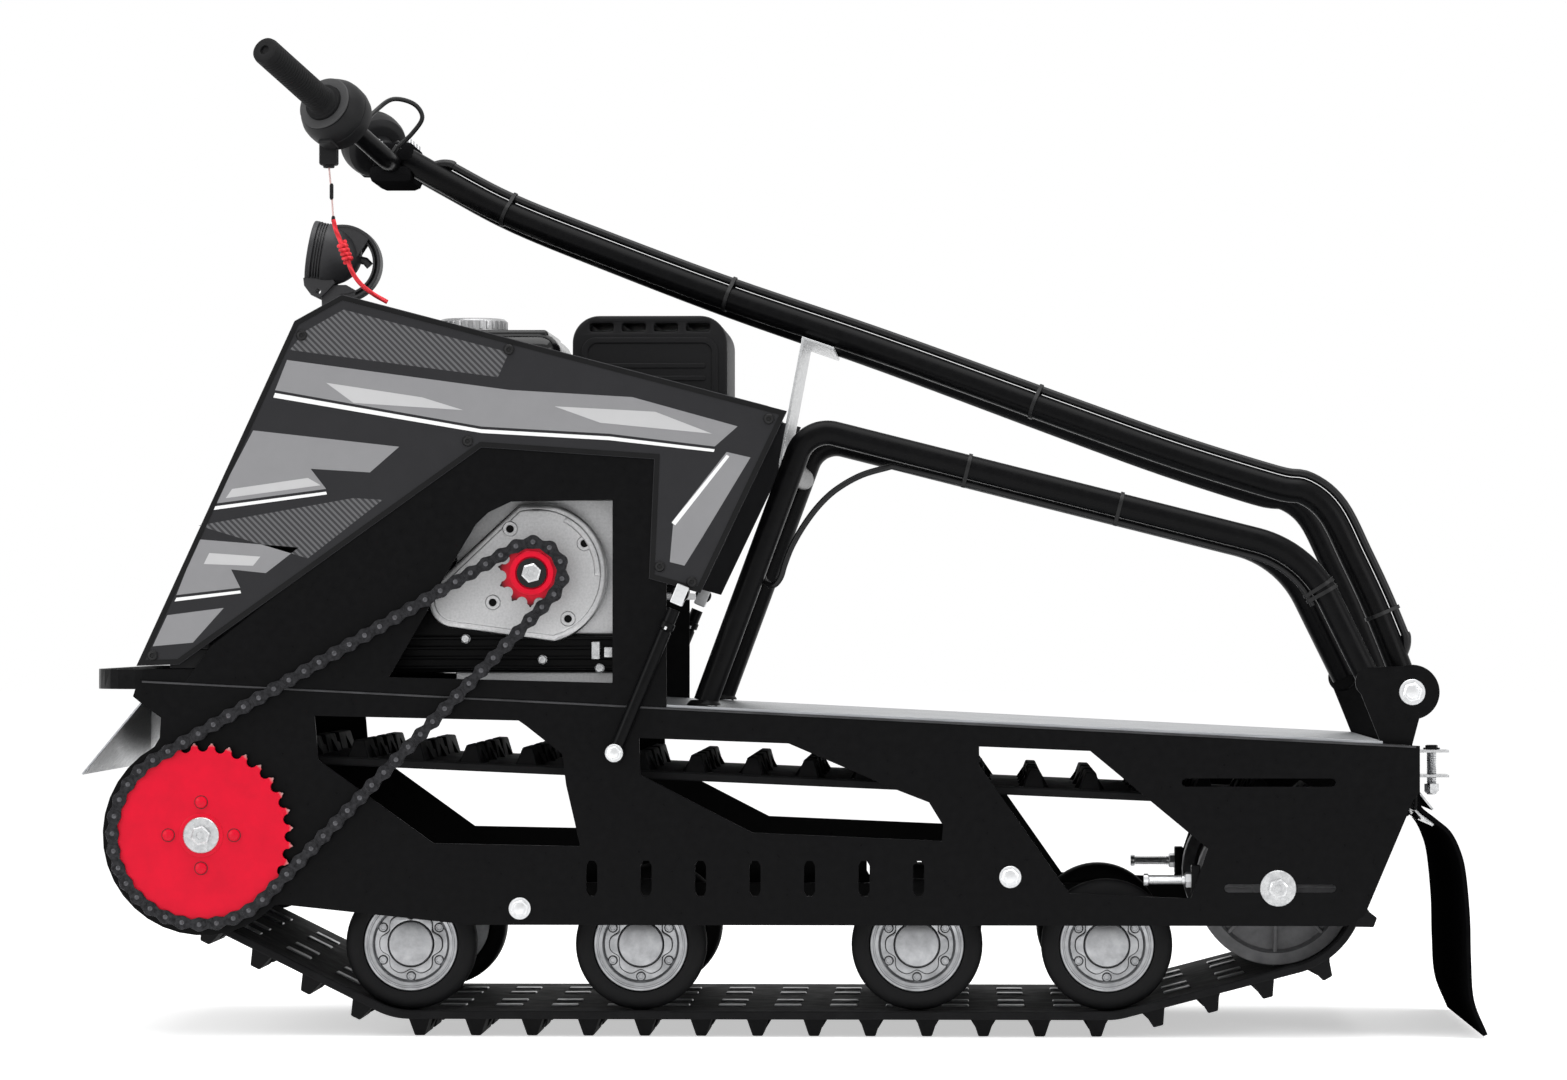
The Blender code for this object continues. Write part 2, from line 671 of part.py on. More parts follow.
def make_side_plates():
    nose = arc((DRIVE_X, DRIVE_Z), NOSE_RADIUS, NOSE_ARC_START, NOSE_ARC_END)
    foot = (DRIVE_X + NOSE_FOOT_REACH, on_plate(0, NOSE_FOOT_SHARE)[1])
    outline = [on_plate(*p) for p in PLATE_HORN_SHARES] + nose + [foot] + [on_plate(*p) for p in PLATE_REST_SHARES]
    outline.append((PLATE_REAR_X, plate_top(PLATE_REAR_X)))
    windows = [
        [between_axles(*p) for p in shares]
        for shares in (FRONT_WINDOW_SHARES, MIDDLE_WINDOW_SHARES, REAR_WINDOW_SHARES)
    ]
    left_share, right_share, height_share = UPPER_SLOT_SHARES
    slot_left, slot_z = on_plate(left_share, height_share)
    slot_right, _ = on_plate(right_share, height_share)
    upper = slot(slot_left, slot_right, slot_z, SLOT_HEIGHT / 2)
    tension = slot(REAR_X - TENSION_FRONT_REACH, REAR_X + TENSION_REAR_REACH, REAR_Z, SLOT_HEIGHT / 2)
    vents = []
    vent_left, vent_right, vent_share = VENT_ROW_SHARES
    for i in range(VENT_COUNT):
        x, z = on_plate(vent_left + (vent_right - vent_left) * i / (VENT_COUNT - 1), vent_share)
        half, rise = VENT_WIDTH / 2, VENT_HEIGHT / 2 - VENT_WIDTH / 2
        vents.append(
            arc((x, z + rise), half, 0, math.pi, math.pi / 3)
            + arc((x, z - rise), half, math.pi, math.tau, math.pi / 3)
        )
    holes = [circle((DRIVE_X, DRIVE_Z), DRIVE_SHAFT_RADIUS)]
    holes += [circle(place, CROSS_SHAFT_RADIUS, BOLT_STEPS) for place in CROSS_SHAFTS.values()]
    loops = [outline, *windows, upper, tension, *vents, *holes]
    for side, y in both_sides(PLATE_OUTER_Y - PLATE_THICKNESS / 2):
        upright(f"side_plate_{side}", loops, y, PLATE_THICKNESS, BLACK_PAINT)


def make_deck():
    """A folded tray: its top lies over the plates' upper edge, its lips inside them."""
    half, top = INSIDE_HALF, 0
    skin = SHEET_THICKNESS
    section = [
        (-half, top), (-half, -DECK_LIP), (-half + skin, -DECK_LIP), (-half + skin, top - skin),
        (half - skin, top - skin), (half - skin, -DECK_LIP), (half, -DECK_LIP), (half, top),
    ]
    middle = (DECK_FRONT_X + DECK_REAR_X) / 2
    length = (DECK_REAR_X - DECK_FRONT_X) * math.hypot(1, TOP_SLOPE)
    up = Vector((-TOP_SLOPE, 0, 1))
    sheet("deck_plate", [section], length, (middle, 0, deck_top(middle)), BARE_ALUMINIUM, AXIS_Y, up)


def make_front():
    middle_x = BUMPER_FRONT_X + BUMPER_THICKNESS / 2
    middle_y = INSIDE_HALF - BUMPER_THICKNESS / 2
    corners = [
        (BUMPER_REAR_X, -middle_y, 0), (middle_x, -middle_y, 0), (middle_x, middle_y, 0), (BUMPER_REAR_X, middle_y, 0),
    ]
    hoop = [(p.x, p.y) for p in bent(corners, [BUMPER_CORNER, BUMPER_CORNER])]
    place = (0, 0, BUMPER_BOTTOM_Z + BUMPER_HEIGHT / 2)
    sheet("front_bumper", [strip(hoop, BUMPER_THICKNESS)], BUMPER_HEIGHT, place, BLACK_PAINT, AXIS_X, AXIS_Y)

    shelf_z = BUMPER_BOTTOM_Z - CLEARANCE - SHEET_THICKNESS / 2
    bend = [(DEFLECTOR_TIP_X, DEFLECTOR_TIP_Z), (DEFLECTOR_KNEE_X, shelf_z), (BUMPER_REAR_X, shelf_z)]
    upright("snow_deflector", [strip(bend, SHEET_THICKNESS)], 0, INSIDE_HALF * 2, BARE_ALUMINIUM)

    half = CROSSMEMBER_THICKNESS / 2
    low = (CROSSMEMBER_X - half, -INSIDE_HALF, CROSSMEMBER_BOTTOM_Z)
    high = (CROSSMEMBER_X + half, INSIDE_HALF, CROSSMEMBER_BOTTOM_Z + CROSSMEMBER_HEIGHT)
    box("rear_crossmember", low, high, BLACK_PAINT)


def wrap(wheels):
    """The closed path of a belt drawn tight round wheels (x, z, radius), listed
    counter-clockwise. Gives straight runs and arcs as (point, outward normal)."""
    turns = []
    for a, b in zip(wheels, wheels[1:] + wheels[:1]):
        along = Vector((b[0] - a[0], b[1] - a[1]))
        lean = math.asin((a[2] - b[2]) / along.length)
        turns.append(math.atan2(along.y, along.x) - math.pi / 2 + lean)
    path = []
    for i, wheel in enumerate(wheels):
        start = turns[i - 1]
        sweep = (turns[i] - start) % math.tau
        count = max(1, math.ceil(sweep / ARC_STEP))
        for j in range(count + 1):
            turn = start + sweep * j / count
            normal = Vector((math.cos(turn), math.sin(turn)))
            path.append((Vector(wheel[:2]) + normal * wheel[2], normal))
    return path


def along(path, distance):
    """The point and the normal at a distance along a closed path."""
    for (a, n), (b, m) in zip(path, path[1:] + path[:1]):
        step = (b - a).length
        if distance <= step and step > 0:
            share = distance / step
            return a.lerp(b, share), n.lerp(m, share).normalized()
        distance -= step
    return path[0]


def path_length(path):
    return sum((b[0] - a[0]).length for a, b in zip(path, path[1:] + path[:1]))


def make_track():
    """One closed belt with a full-width lug at each pitch."""
    wheels = [
        (ROAD_WHEEL_XS[0], ROAD_WHEEL_Z, ROAD_WHEEL_RADIUS), (ROAD_WHEEL_XS[-1], ROAD_WHEEL_Z, ROAD_WHEEL_RADIUS),
        (REAR_X, REAR_Z, IDLER_RADIUS), (DRIVE_X, DRIVE_Z, DRIVE_WHEEL_RADIUS),
    ]
    inner = wrap([(x, z, belt_radius(r)) for x, z, r in wheels])
    outer = [tuple(p + n * BELT_THICKNESS) for p, n in inner]
    upright("track", [outer, [tuple(p) for p, n in inner]], 0, TRACK_WIDTH, BLACK_RUBBER)

    length = path_length(inner)
    count = round(length / LUG_PITCH)
    shape = bmesh.new()
    half = TRACK_WIDTH / 2 - LUG_SET_IN
    for i in range(count):
        place, normal = along(inner, length * (i + LUG_PHASE_SHARE) / count)
        run = Vector((-normal.y, normal.x))
        made = bmesh.ops.create_cube(shape, size=1)["verts"]
        for corner in made:
            top = corner.co.z > 0
            width = LUG_TIP if top else LUG_BASE
            reach = half - LUG_TAPER if top else half
            lift = BELT_THICKNESS + LUG_HEIGHT if top else BELT_THICKNESS / 2
            flat = place + normal * lift + run * width * corner.co.x
            corner.co = (flat.x, 2 * reach * corner.co.y, flat.y)
    bmesh.ops.recalc_face_normals(shape, faces=shape.faces)
    mesh = bpy.data.meshes.new("track_lugs")
    shape.to_mesh(mesh)
    shape.free()
    lugs = finish(bpy.data.objects.new("track_lugs", mesh), "track_lugs", BLACK_RUBBER)
    join(bpy.data.objects["track"], lugs)


def mirrored(profile):
    """A turned profile that is the same on both sides of its middle."""
    return profile + [(r, -h) for r, h in reversed(profile)]


def make_axles():
    outer = PLATE_OUTER_Y + CLEARANCE
    sprocket_in = CHAIN_Y - SPROCKET_THICKNESS / 2 - CLEARANCE
    sprocket_out = CHAIN_Y + SPROCKET_THICKNESS / 2 + CLEARANCE
    wheel_in = DRIVE_WHEEL_Y - DRIVE_WHEEL_WIDTH / 2
    wheel_out = DRIVE_WHEEL_Y + DRIVE_WHEEL_WIDTH / 2
    shaft = DRIVE_SHAFT_RADIUS
    right_half = [
        (0, outer + NUT_HEIGHT), (NUT_RADIUS, outer + NUT_HEIGHT), (NUT_RADIUS, outer + WASHER_THICKNESS),
        (WASHER_RADIUS, outer + WASHER_THICKNESS), (WASHER_RADIUS, outer), (shaft, outer),
        (shaft, wheel_out), (DRIVE_WHEEL_RADIUS, wheel_out), (DRIVE_WHEEL_RADIUS, wheel_in), (AXLE_HUB_RADIUS, wheel_in),
    ]
    left_half = [
        (AXLE_HUB_RADIUS, -wheel_in), (DRIVE_WHEEL_RADIUS, -wheel_in), (DRIVE_WHEEL_RADIUS, -wheel_out),
        (shaft, -wheel_out), (shaft, -outer), (HUB_RADIUS, -outer), (HUB_RADIUS, -sprocket_in),
        (shaft, -sprocket_in), (shaft, -sprocket_out), (WASHER_RADIUS, -sprocket_out),
        (WASHER_RADIUS, -sprocket_out - WASHER_THICKNESS), (NUT_RADIUS, -sprocket_out - WASHER_THICKNESS),
        (NUT_RADIUS, -sprocket_out - WASHER_THICKNESS - NUT_HEIGHT), (0, -sprocket_out - WASHER_THICKNESS - NUT_HEIGHT),
    ]
    turned("drive_axle", right_half + left_half, (DRIVE_X, 0, DRIVE_Z), ZINC_STEEL, steps=AXLE_STEPS)

    idler_in = IDLER_Y - IDLER_WIDTH / 2
    idler_out = IDLER_Y + IDLER_WIDTH / 2
    idler = IDLER_RADIUS
    rear = mirrored([
        (0, outer + WASHER_THICKNESS + NUT_HEIGHT), (NUT_RADIUS, outer + WASHER_THICKNESS + NUT_HEIGHT),
        (NUT_RADIUS, outer + WASHER_THICKNESS), (WASHER_RADIUS, outer + WASHER_THICKNESS), (WASHER_RADIUS, outer),
        (TENSION_BOLT_RADIUS, outer), (TENSION_BOLT_RADIUS, INSIDE_HALF), (REAR_SHAFT_RADIUS, INSIDE_HALF),
        (REAR_SHAFT_RADIUS, idler_out), (idler, idler_out), (idler, idler_in), (REAR_SHAFT_RADIUS, idler_in),
    ])
    turned("rear_axle", rear, (REAR_X, 0, REAR_Z), ZINC_STEEL, steps=AXLE_STEPS)

    rim = ROAD_WHEEL_RADIUS - TYRE_DEPTH - CLEARANCE
    face = ROAD_WHEEL_Y + RIM_WIDTH / 2
    back = ROAD_WHEEL_Y - RIM_WIDTH / 2
    dish = face - RIM_LIP
    road = mirrored([
        (0, face + HUB_CAP), (HUB_RADIUS, face), (HUB_RADIUS, dish), (rim - RIM_LIP, dish), (rim, face),
        (rim, back), (ROAD_SHAFT_RADIUS, back - HUB_CAP),
    ])
    half = TYRE_WIDTH / 2
    tread = [
        (ROAD_WHEEL_RADIUS - TYRE_DEPTH, half), (ROAD_WHEEL_RADIUS, half), (ROAD_WHEEL_RADIUS, -half),
        (ROAD_WHEEL_RADIUS - TYRE_DEPTH, -half),
    ]
    for number, x in enumerate(ROAD_WHEEL_XS, 1):
        turned(f"road_axle_{number}", road, (x, 0, ROAD_WHEEL_Z), ZINC_STEEL, steps=TYRE_STEPS)
        for side, y in both_sides(ROAD_WHEEL_Y):
            place = (x, y, ROAD_WHEEL_Z)
            turned(f"tyre_{number}_{side}", tread, place, BLACK_RUBBER, steps=TYRE_STEPS, ring=True)


def make_suspension():
    front, rear = ROAD_WHEEL_XS[0] - RAIL_OVERHANG, ROAD_WHEEL_XS[-1] + RAIL_OVERHANG
    lower = [(front, RAIL_BOTTOM_Z)]
    for x in ROAD_WHEEL_XS:
        foot = ROAD_WHEEL_Z - EAR_DEPTH
        lower += [
            (x - EAR_HALF, RAIL_BOTTOM_Z - CLEARANCE), (x - EAR_HALF / 2, foot), (x + EAR_HALF / 2, foot),
            (x + EAR_HALF, RAIL_BOTTOM_Z - CLEARANCE),
        ]
    lower.append((rear, RAIL_BOTTOM_Z))
    upper = [(rear, RAIL_TOP_Z)]
    shaft_x, shaft_z = CROSS_SHAFTS["rear"]
    top = shaft_z + EAR_DEPTH
    upper += [
        (shaft_x + EAR_HALF, RAIL_TOP_Z), (shaft_x + EAR_HALF / 2, top), (shaft_x - EAR_HALF / 2, top),
        (shaft_x - EAR_HALF, RAIL_TOP_Z),
    ]
    front_x, front_z = CROSS_SHAFTS["front"]
    top = front_z + EAR_DEPTH
    upper += [
        (front_x + EAR_HALF, RAIL_TOP_Z), (front_x + EAR_HALF / 2, top), (front_x - EAR_HALF / 2, top),
        (front_x - EAR_HALF, RAIL_TOP_Z), (front, RAIL_TOP_Z),
    ]
    holes = [circle((x, ROAD_WHEEL_Z), ROAD_SHAFT_RADIUS, SMALL_STEPS) for x in ROAD_WHEEL_XS]
    holes += [circle(place, CROSS_SHAFT_RADIUS, SMALL_STEPS) for place in CROSS_SHAFTS.values()]
    for side, y in both_sides(RAIL_Y):
        upright(f"suspension_rail_{side}", [lower + upper, *holes], y, RAIL_THICKNESS, BLACK_PAINT)

    outer = PLATE_OUTER_Y + CLEARANCE
    shaft = mirrored([
        (0, outer + CROSS_HEAD_HEIGHT), (CROSS_HEAD_RADIUS, outer + CROSS_HEAD_HEIGHT), (CROSS_HEAD_RADIUS, outer),
        (CROSS_SHAFT_RADIUS, outer),
    ])
    for name, (x, z) in CROSS_SHAFTS.items():
        turned(f"suspension_shaft_{name}", shaft, (x, 0, z), ZINC_STEEL, steps=BOLT_STEPS)


def pitch_radius(teeth):
    return CHAIN_PITCH / 2 / math.sin(math.pi / teeth)


def sprocket_outline(centre, teeth, phase):
    """Round gaps at the pitch circle, where the rollers seat, and flat tips."""
    radius = pitch_radius(teeth)
    root = radius - ROLLER_RADIUS - CLEARANCE
    tip = radius + TOOTH_HEIGHT
    pitch = math.tau / teeth
    flank_share = (ROLLER_RADIUS + FLANK_PLAY) / CHAIN_PITCH
    flank = [(TIP_SHARE, tip), (flank_share, radius)]
    places = [(-share, reach) for share, reach in flank] + [(0, root)] + flank[::-1]
    outline = []
    for i in range(teeth):
        for share, reach in places:
            turn = phase + pitch * (i + share)
            outline.append((centre[0] + reach * math.cos(turn), centre[1] + reach * math.sin(turn)))
    return outline


def seated_pins(centre, teeth, start, end):
    """Pins on a sprocket as (place, run), one in each gap that lies between two turns."""
    step = math.tau / teeth
    count = int((end - start) / step)
    first = (start + end - step * count) / 2
    pins = []
    for i in range(count + 1):
        turn = first + step * i
        place = around(centre, pitch_radius(teeth), turn)
        pins.append((Vector(place), Vector((-math.sin(turn), math.cos(turn)))))
    return first, pins


def free_pins(start, end):
    """The pins between two others, as near to one pitch apart as they divide."""
    reach = end - start
    count = round(reach.length / CHAIN_PITCH)
    return [(start + reach * i / count, reach.normalized()) for i in range(1, count)]


def chain_layout():
    """The pins seated on the sprockets, the free ones, and each sprocket's phase."""
    reach = Vector((SHAFT_X - DRIVE_X, SHAFT_Z - DRIVE_Z))
    heading = math.atan2(reach.y, reach.x)
    lean = math.acos((pitch_radius(DRIVEN_TOOTH_COUNT) - pitch_radius(ENGINE_TOOTH_COUNT)) / reach.length)
    driven = (DRIVE_X, DRIVE_Z), DRIVEN_TOOTH_COUNT, heading + lean, heading - lean + math.tau
    engine = (SHAFT_X, SHAFT_Z), ENGINE_TOOTH_COUNT, heading - lean, heading + lean
    driven_phase, driven_pins = seated_pins(*driven)
    engine_phase, engine_pins = seated_pins(*engine)
    lower = free_pins(driven_pins[-1][0], engine_pins[0][0])
    upper = free_pins(engine_pins[-1][0], driven_pins[0][0])
    return driven_pins + engine_pins, lower + upper, driven_phase, engine_phase


def make_chain_drive():
    """Two rows of link plates tied by a roller at each pin, and the two sprockets."""
    seated, free, driven_phase, engine_phase = chain_layout()
    half = LINK_HEIGHT / 2
    outer = [(pin.x + run.y * half, pin.y - run.x * half) for pin, run in seated]
    inner = [(pin.x - run.y * half, pin.y + run.x * half) for pin, run in seated]
    lift = ROLLER_LENGTH / 2 + LINK_PLATE / 2
    chain = upright("drive_chain", [outer, inner], -CHAIN_Y - lift, LINK_PLATE, CHAIN_STEEL)
    back = upright("chain_back_plates", [outer, inner], -CHAIN_Y + lift, LINK_PLATE, CHAIN_STEEL)
    rollers = bmesh.new()
    for pin, run in seated + free:
        made = bmesh.ops.create_cone(
            rollers, cap_ends=True, segments=ROLLER_SIDES, radius1=ROLLER_RADIUS, radius2=ROLLER_RADIUS,
            depth=ROLLER_LENGTH + LINK_PLATE,
        )["verts"]
        lie = Matrix.Rotation(math.pi / 2, 4, "X")
        turn = Matrix.Rotation(-math.atan2(run.y, run.x), 4, "Y")
        place = Matrix.Translation((pin.x, -CHAIN_Y, pin.y))
        bmesh.ops.transform(rollers, matrix=place @ turn @ lie, verts=made)
    mesh = bpy.data.meshes.new("chain_rollers")
    rollers.to_mesh(mesh)
    rollers.free()
    join(chain, back, finish(bpy.data.objects.new("chain_rollers", mesh), "chain_rollers", CHAIN_STEEL))

    driven = (DRIVE_X, DRIVE_Z)
    outline = sprocket_outline(driven, DRIVEN_TOOTH_COUNT, driven_phase)
    hole = circle(driven, DRIVE_SHAFT_RADIUS)
    upright("driven_sprocket", [outline, hole], -CHAIN_Y, SPROCKET_THICKNESS, RED_PAINT)
    engine = (SHAFT_X, SHAFT_Z)
    outline = sprocket_outline(engine, ENGINE_TOOTH_COUNT, engine_phase)
    hole = circle(engine, SHAFT_RADIUS)
    upright("engine_sprocket", [outline, hole], -CHAIN_Y, SPROCKET_THICKNESS, RED_PAINT)


def line_height(points, x):
    """The height at x of a line through (x, z) points."""
    for (ax, az), (bx, bz) in zip(points, points[1:]):
        if ax <= x <= bx:
            return az + (bz - az) * (x - ax) / (bx - ax)
    return points[-1][1]


PANEL_OUTER_Y = PLATE_OUTER_Y + CLEARANCE + COWL_THICKNESS


def cowl_outline():
    return [on_cowl(*p) for p in COWL_FRONT_SHARES + COWL_TAIL_SHARES]


def make_cowl():
    outline = cowl_outline() + [on_cowl(*p) for p in COWL_CUT_SHARES]
    for side, y in both_sides(PLATE_OUTER_Y + CLEARANCE + COWL_THICKNESS / 2):
        upright(f"cowl_panel_{side}", [outline], y, COWL_THICKNESS, COWL_GREY)

    panel = [on_cowl(*p) for p in INNER_PANEL_SHARES]
    panel[0] = (panel[0][0], plate_top(panel[0][0]) + CLEARANCE)
    panel[-1] = (panel[-1][0], plate_top(panel[-1][0]) + CLEARANCE)
    window = [on_cowl(*p) for p in INNER_WINDOW_SHARES]
    for side, y in both_sides(PLATE_OUTER_Y - SHEET_THICKNESS / 2):
        upright(f"inner_panel_{side}", [panel, window], y, SHEET_THICKNESS, BLACK_PAINT)

    foot_x, foot_z = on_cowl(*SHELL_FOOT_SHARES)
    front = cowl_outline()
    end_x, _ = on_cowl(SHELL_END_SHARE, 0)
    spine = [(foot_x, foot_z), front[1], front[2], (end_x, line_height(front, end_x))]
    inset = [(x + COWL_THICKNESS / 2, z - COWL_THICKNESS / 2) for x, z in spine]
    shell = upright("cowl_shell", [strip(inset, COWL_THICKNESS)], 0, PLATE_OUTER_Y * 2, COWL_GREY)
    (hatch_front, _), (hatch_rear, _) = [on_cowl(share, 0) for share in ENGINE_HATCH_SHARES]
    low = (hatch_front, -ENGINE_HATCH_HALF, foot_z + OVERRUN)
    high = (hatch_rear, ENGINE_HATCH_HALF, COWL_BASE_Z + COWL_HEIGHT + OVERRUN)
    cut(shell, box("engine_hatch", low, high, BLACK_PAINT))


def make_engine():
    """The block stands on the deck, with cooling fins to the rear of its top."""
    outline = [(x, deck_top(x) + CLEARANCE) for x in (BLOCK_FRONT_X, BLOCK_REAR_X)]
    for i in range(FIN_COUNT):
        z = FIN_START_Z + FIN_PITCH * i
        fin = BLOCK_REAR_X + FIN_DEPTH
        outline += [(BLOCK_REAR_X, z), (fin, z), (fin, z + FIN_THICKNESS), (BLOCK_REAR_X, z + FIN_THICKNESS)]
    outline += [(BLOCK_REAR_X, BLOCK_TOP_Z), (BLOCK_FRONT_X, BLOCK_TOP_Z)]
    middle = (BLOCK_LEFT_Y + BLOCK_RIGHT_Y) / 2
    upright("engine_block", [outline], middle, BLOCK_RIGHT_Y - BLOCK_LEFT_Y, BLACK_PAINT)

    big = arc((SHAFT_X, SHAFT_Z), COVER_BIG_RADIUS, math.radians(-75), math.radians(105))
    small = arc((COVER_SMALL_X, COVER_SMALL_Z), COVER_SMALL_RADIUS, math.radians(120), math.radians(260))
    hole = circle((SHAFT_X, SHAFT_Z), SHAFT_RADIUS)
    face = BLOCK_LEFT_Y - CLEARANCE - COVER_THICKNESS / 2
    upright("engine_cover", [big + small, hole], face, COVER_THICKNESS, BARE_ALUMINIUM)

    inner = -BLOCK_LEFT_Y + CLEARANCE
    outer = CHAIN_Y + SPROCKET_THICKNESS / 2 + CLEARANCE
    collar = CHAIN_Y - SPROCKET_THICKNESS / 2 - CLEARANCE
    cover = -face + COVER_THICKNESS / 2 + CLEARANCE
    shaft = [
        (0, -inner), (SHAFT_RADIUS, -inner), (SHAFT_RADIUS, -cover), (SHAFT_WASHER_RADIUS, -cover),
        (SHAFT_WASHER_RADIUS, -collar), (SHAFT_RADIUS, -collar), (SHAFT_RADIUS, -outer),
        (SHAFT_WASHER_RADIUS, -outer), (SHAFT_WASHER_RADIUS, -outer - WASHER_THICKNESS),
        (NUT_RADIUS, -outer - WASHER_THICKNESS), (NUT_RADIUS, -outer - WASHER_THICKNESS - NUT_HEIGHT),
        (0, -outer - WASHER_THICKNESS - NUT_HEIGHT),
    ]
    turned("output_shaft", shaft, (SHAFT_X, 0, SHAFT_Z), ZINC_STEEL, steps=BOLT_STEPS)

    start = BLOCK_RIGHT_Y + CLEARANCE
    starter = [
        (0, start + STARTER_DEPTH), (STARTER_DOME, start + STARTER_DEPTH),
        (STARTER_RADIUS, start + STARTER_DEPTH / 2), (STARTER_RADIUS, start), (0, start),
    ]
    turned("recoil_starter", starter, (SHAFT_X, 0, SHAFT_Z), BLACK_PLASTIC)

    tank_front = TANK_X - TANK_LENGTH / 2
    tank_top = TANK_BOTTOM_Z + TANK_HEIGHT
    low = (tank_front, -TANK_WIDTH / 2, TANK_BOTTOM_Z)
    tank = box("fuel_tank", low, (tank_front + TANK_LENGTH, TANK_WIDTH / 2, tank_top), BLACK_PLASTIC)
    rounding = tank.modifiers.new("rounding", "BEVEL")
    rounding.width = TANK_ROUND
    rounding.segments = 2
    neck_low = (TANK_X - NECK_HALF, -NECK_HALF, BLOCK_TOP_Z + CLEARANCE)
    neck_high = (TANK_X + NECK_HALF, NECK_HALF, TANK_BOTTOM_Z + OVERRUN)
    join(tank, box("tank_foot", neck_low, neck_high, BLACK_PLASTIC))
    cap = [(0, CAP_HEIGHT), (CAP_RADIUS, CAP_HEIGHT), (CAP_RADIUS, 0), (0, 0)]
    turned("fuel_cap", cap, (CAP_X, 0, tank_top + CLEARANCE), BLACK_PLASTIC, AXIS_Z)

    rear = GUARD_FRONT_X + GUARD_LENGTH
    top = GUARD_TOP_Z - GUARD_ROUND
    outline = [(GUARD_FRONT_X, GUARD_BOTTOM_Z), (rear, GUARD_BOTTOM_Z)]
    outline += arc((rear - GUARD_ROUND, top), GUARD_ROUND, 0, math.pi / 2)
    outline += arc((GUARD_FRONT_X + GUARD_ROUND, top), GUARD_ROUND, math.pi / 2, math.pi)
    guard = upright("muffler_guard", [outline], 0, GUARD_WIDTH, BLACK_PAINT)
    leg_x = GUARD_FRONT_X + NECK_HALF
    leg_low = (leg_x - NECK_HALF / 2, -NECK_HALF, BLOCK_TOP_Z + CLEARANCE)
    leg_high = (leg_x + NECK_HALF / 2, NECK_HALF, GUARD_BOTTOM_Z + OVERRUN)
    join(guard, box("guard_foot", leg_low, leg_high, BLACK_PAINT))
    z = GUARD_TOP_Z - GUARD_SLOT_DROP
    for i in range(GUARD_SLOT_COUNT):
        x = GUARD_FRONT_X + GUARD_LENGTH / 2 + GUARD_SLOT_PITCH * (i - (GUARD_SLOT_COUNT - 1) / 2)
        low = (x - GUARD_SLOT_LENGTH / 2, -GUARD_WIDTH, z - GUARD_SLOT_HEIGHT / 2)
        high = (x + GUARD_SLOT_LENGTH / 2, GUARD_WIDTH, z + GUARD_SLOT_HEIGHT / 2)
        cut(guard, box(f"guard_slot_{i}", low, high, BLACK_PAINT))


def make_loop():
    """Two bent rails with a cross tube and the pivot brackets, welded into one."""
    foot_z = deck_top(LOOP_FOOT_X) + CLEARANCE + TUBE_RADIUS / 2
    corners = [
        (LOOP_FOOT_X, foot_z), (LOOP_FRONT_X, LOOP_FRONT_Z), (LOOP_REAR_X, LOOP_REAR_Z), (LOOP_END_X, LOOP_END_Z),
    ]
    path = bent(corners, [LOOP_FRONT_BEND, LOOP_REAR_BEND])
    bracket_y = LOOP_Y + TUBE_RADIUS + BRACKET_THICKNESS / 2 - OVERRUN / 2
    pieces = []
    for side, y in both_sides(LOOP_Y):
        name = "loop_frame" if side == "left" else "loop_rail_right"
        pieces.append(tube(name, [(p.x, y, p.y) for p in path], TUBE_RADIUS, BLACK_PAINT))
    for side, y in both_sides(bracket_y):
        pivot, end = (PIVOT_X, PIVOT_Z), (LOOP_END_X, LOOP_END_Z)
        neck_left, neck_right = PIVOT_X - BRACKET_NECK, PIVOT_X
        outline = arc(pivot, BRACKET_RADIUS, math.radians(-75), math.radians(110))
        outline += arc(end, BRACKET_SMALL_RADIUS, math.radians(110), math.radians(230))
        outline += [(neck_left, deck_top(neck_left) + CLEARANCE), (neck_right, deck_top(neck_right) + CLEARANCE)]
        hole = circle(pivot, PIVOT_RADIUS, BOLT_STEPS)
        pieces.append(upright(f"pivot_bracket_{side}", [outline, hole], y, BRACKET_THICKNESS, BLACK_PAINT))
    tie = cross_tube_place()
    ends = [(tie[0], -LOOP_Y, tie[1]), (tie[0], LOOP_Y, tie[1])]
    pieces.append(tube("loop_cross_tube", ends, TUBE_RADIUS * CROSS_TUBE_SLIM_SHARE, BLACK_PAINT))
    join(*pieces)


def cross_tube_place():
    share = CROSS_TUBE_SHARE
    foot_z = deck_top(LOOP_FOOT_X)
    return LOOP_FOOT_X + (LOOP_FRONT_X - LOOP_FOOT_X) * share, foot_z + (LOOP_FRONT_Z - foot_z) * share


def stem_points():
    """The left rail's middle line: the two rails close towards the clamp head."""
    points = []
    for share_x, share_z in STEM_SHARES:
        close = max(0, (share_x - STEM_KNEE_SHARE) / (1 - STEM_KNEE_SHARE))
        y = STEM_HALF_GAP + (STEM_HEAD_HALF_GAP - STEM_HALF_GAP) * close
        points.append((PIVOT_X - share_x * STEM_REACH, -y, PIVOT_Z + share_z * STEM_RISE))
    return points


def stem_height(x):
    points = [(px, pz) for px, _, pz in reversed(stem_points())]
    return line_height(points, x)


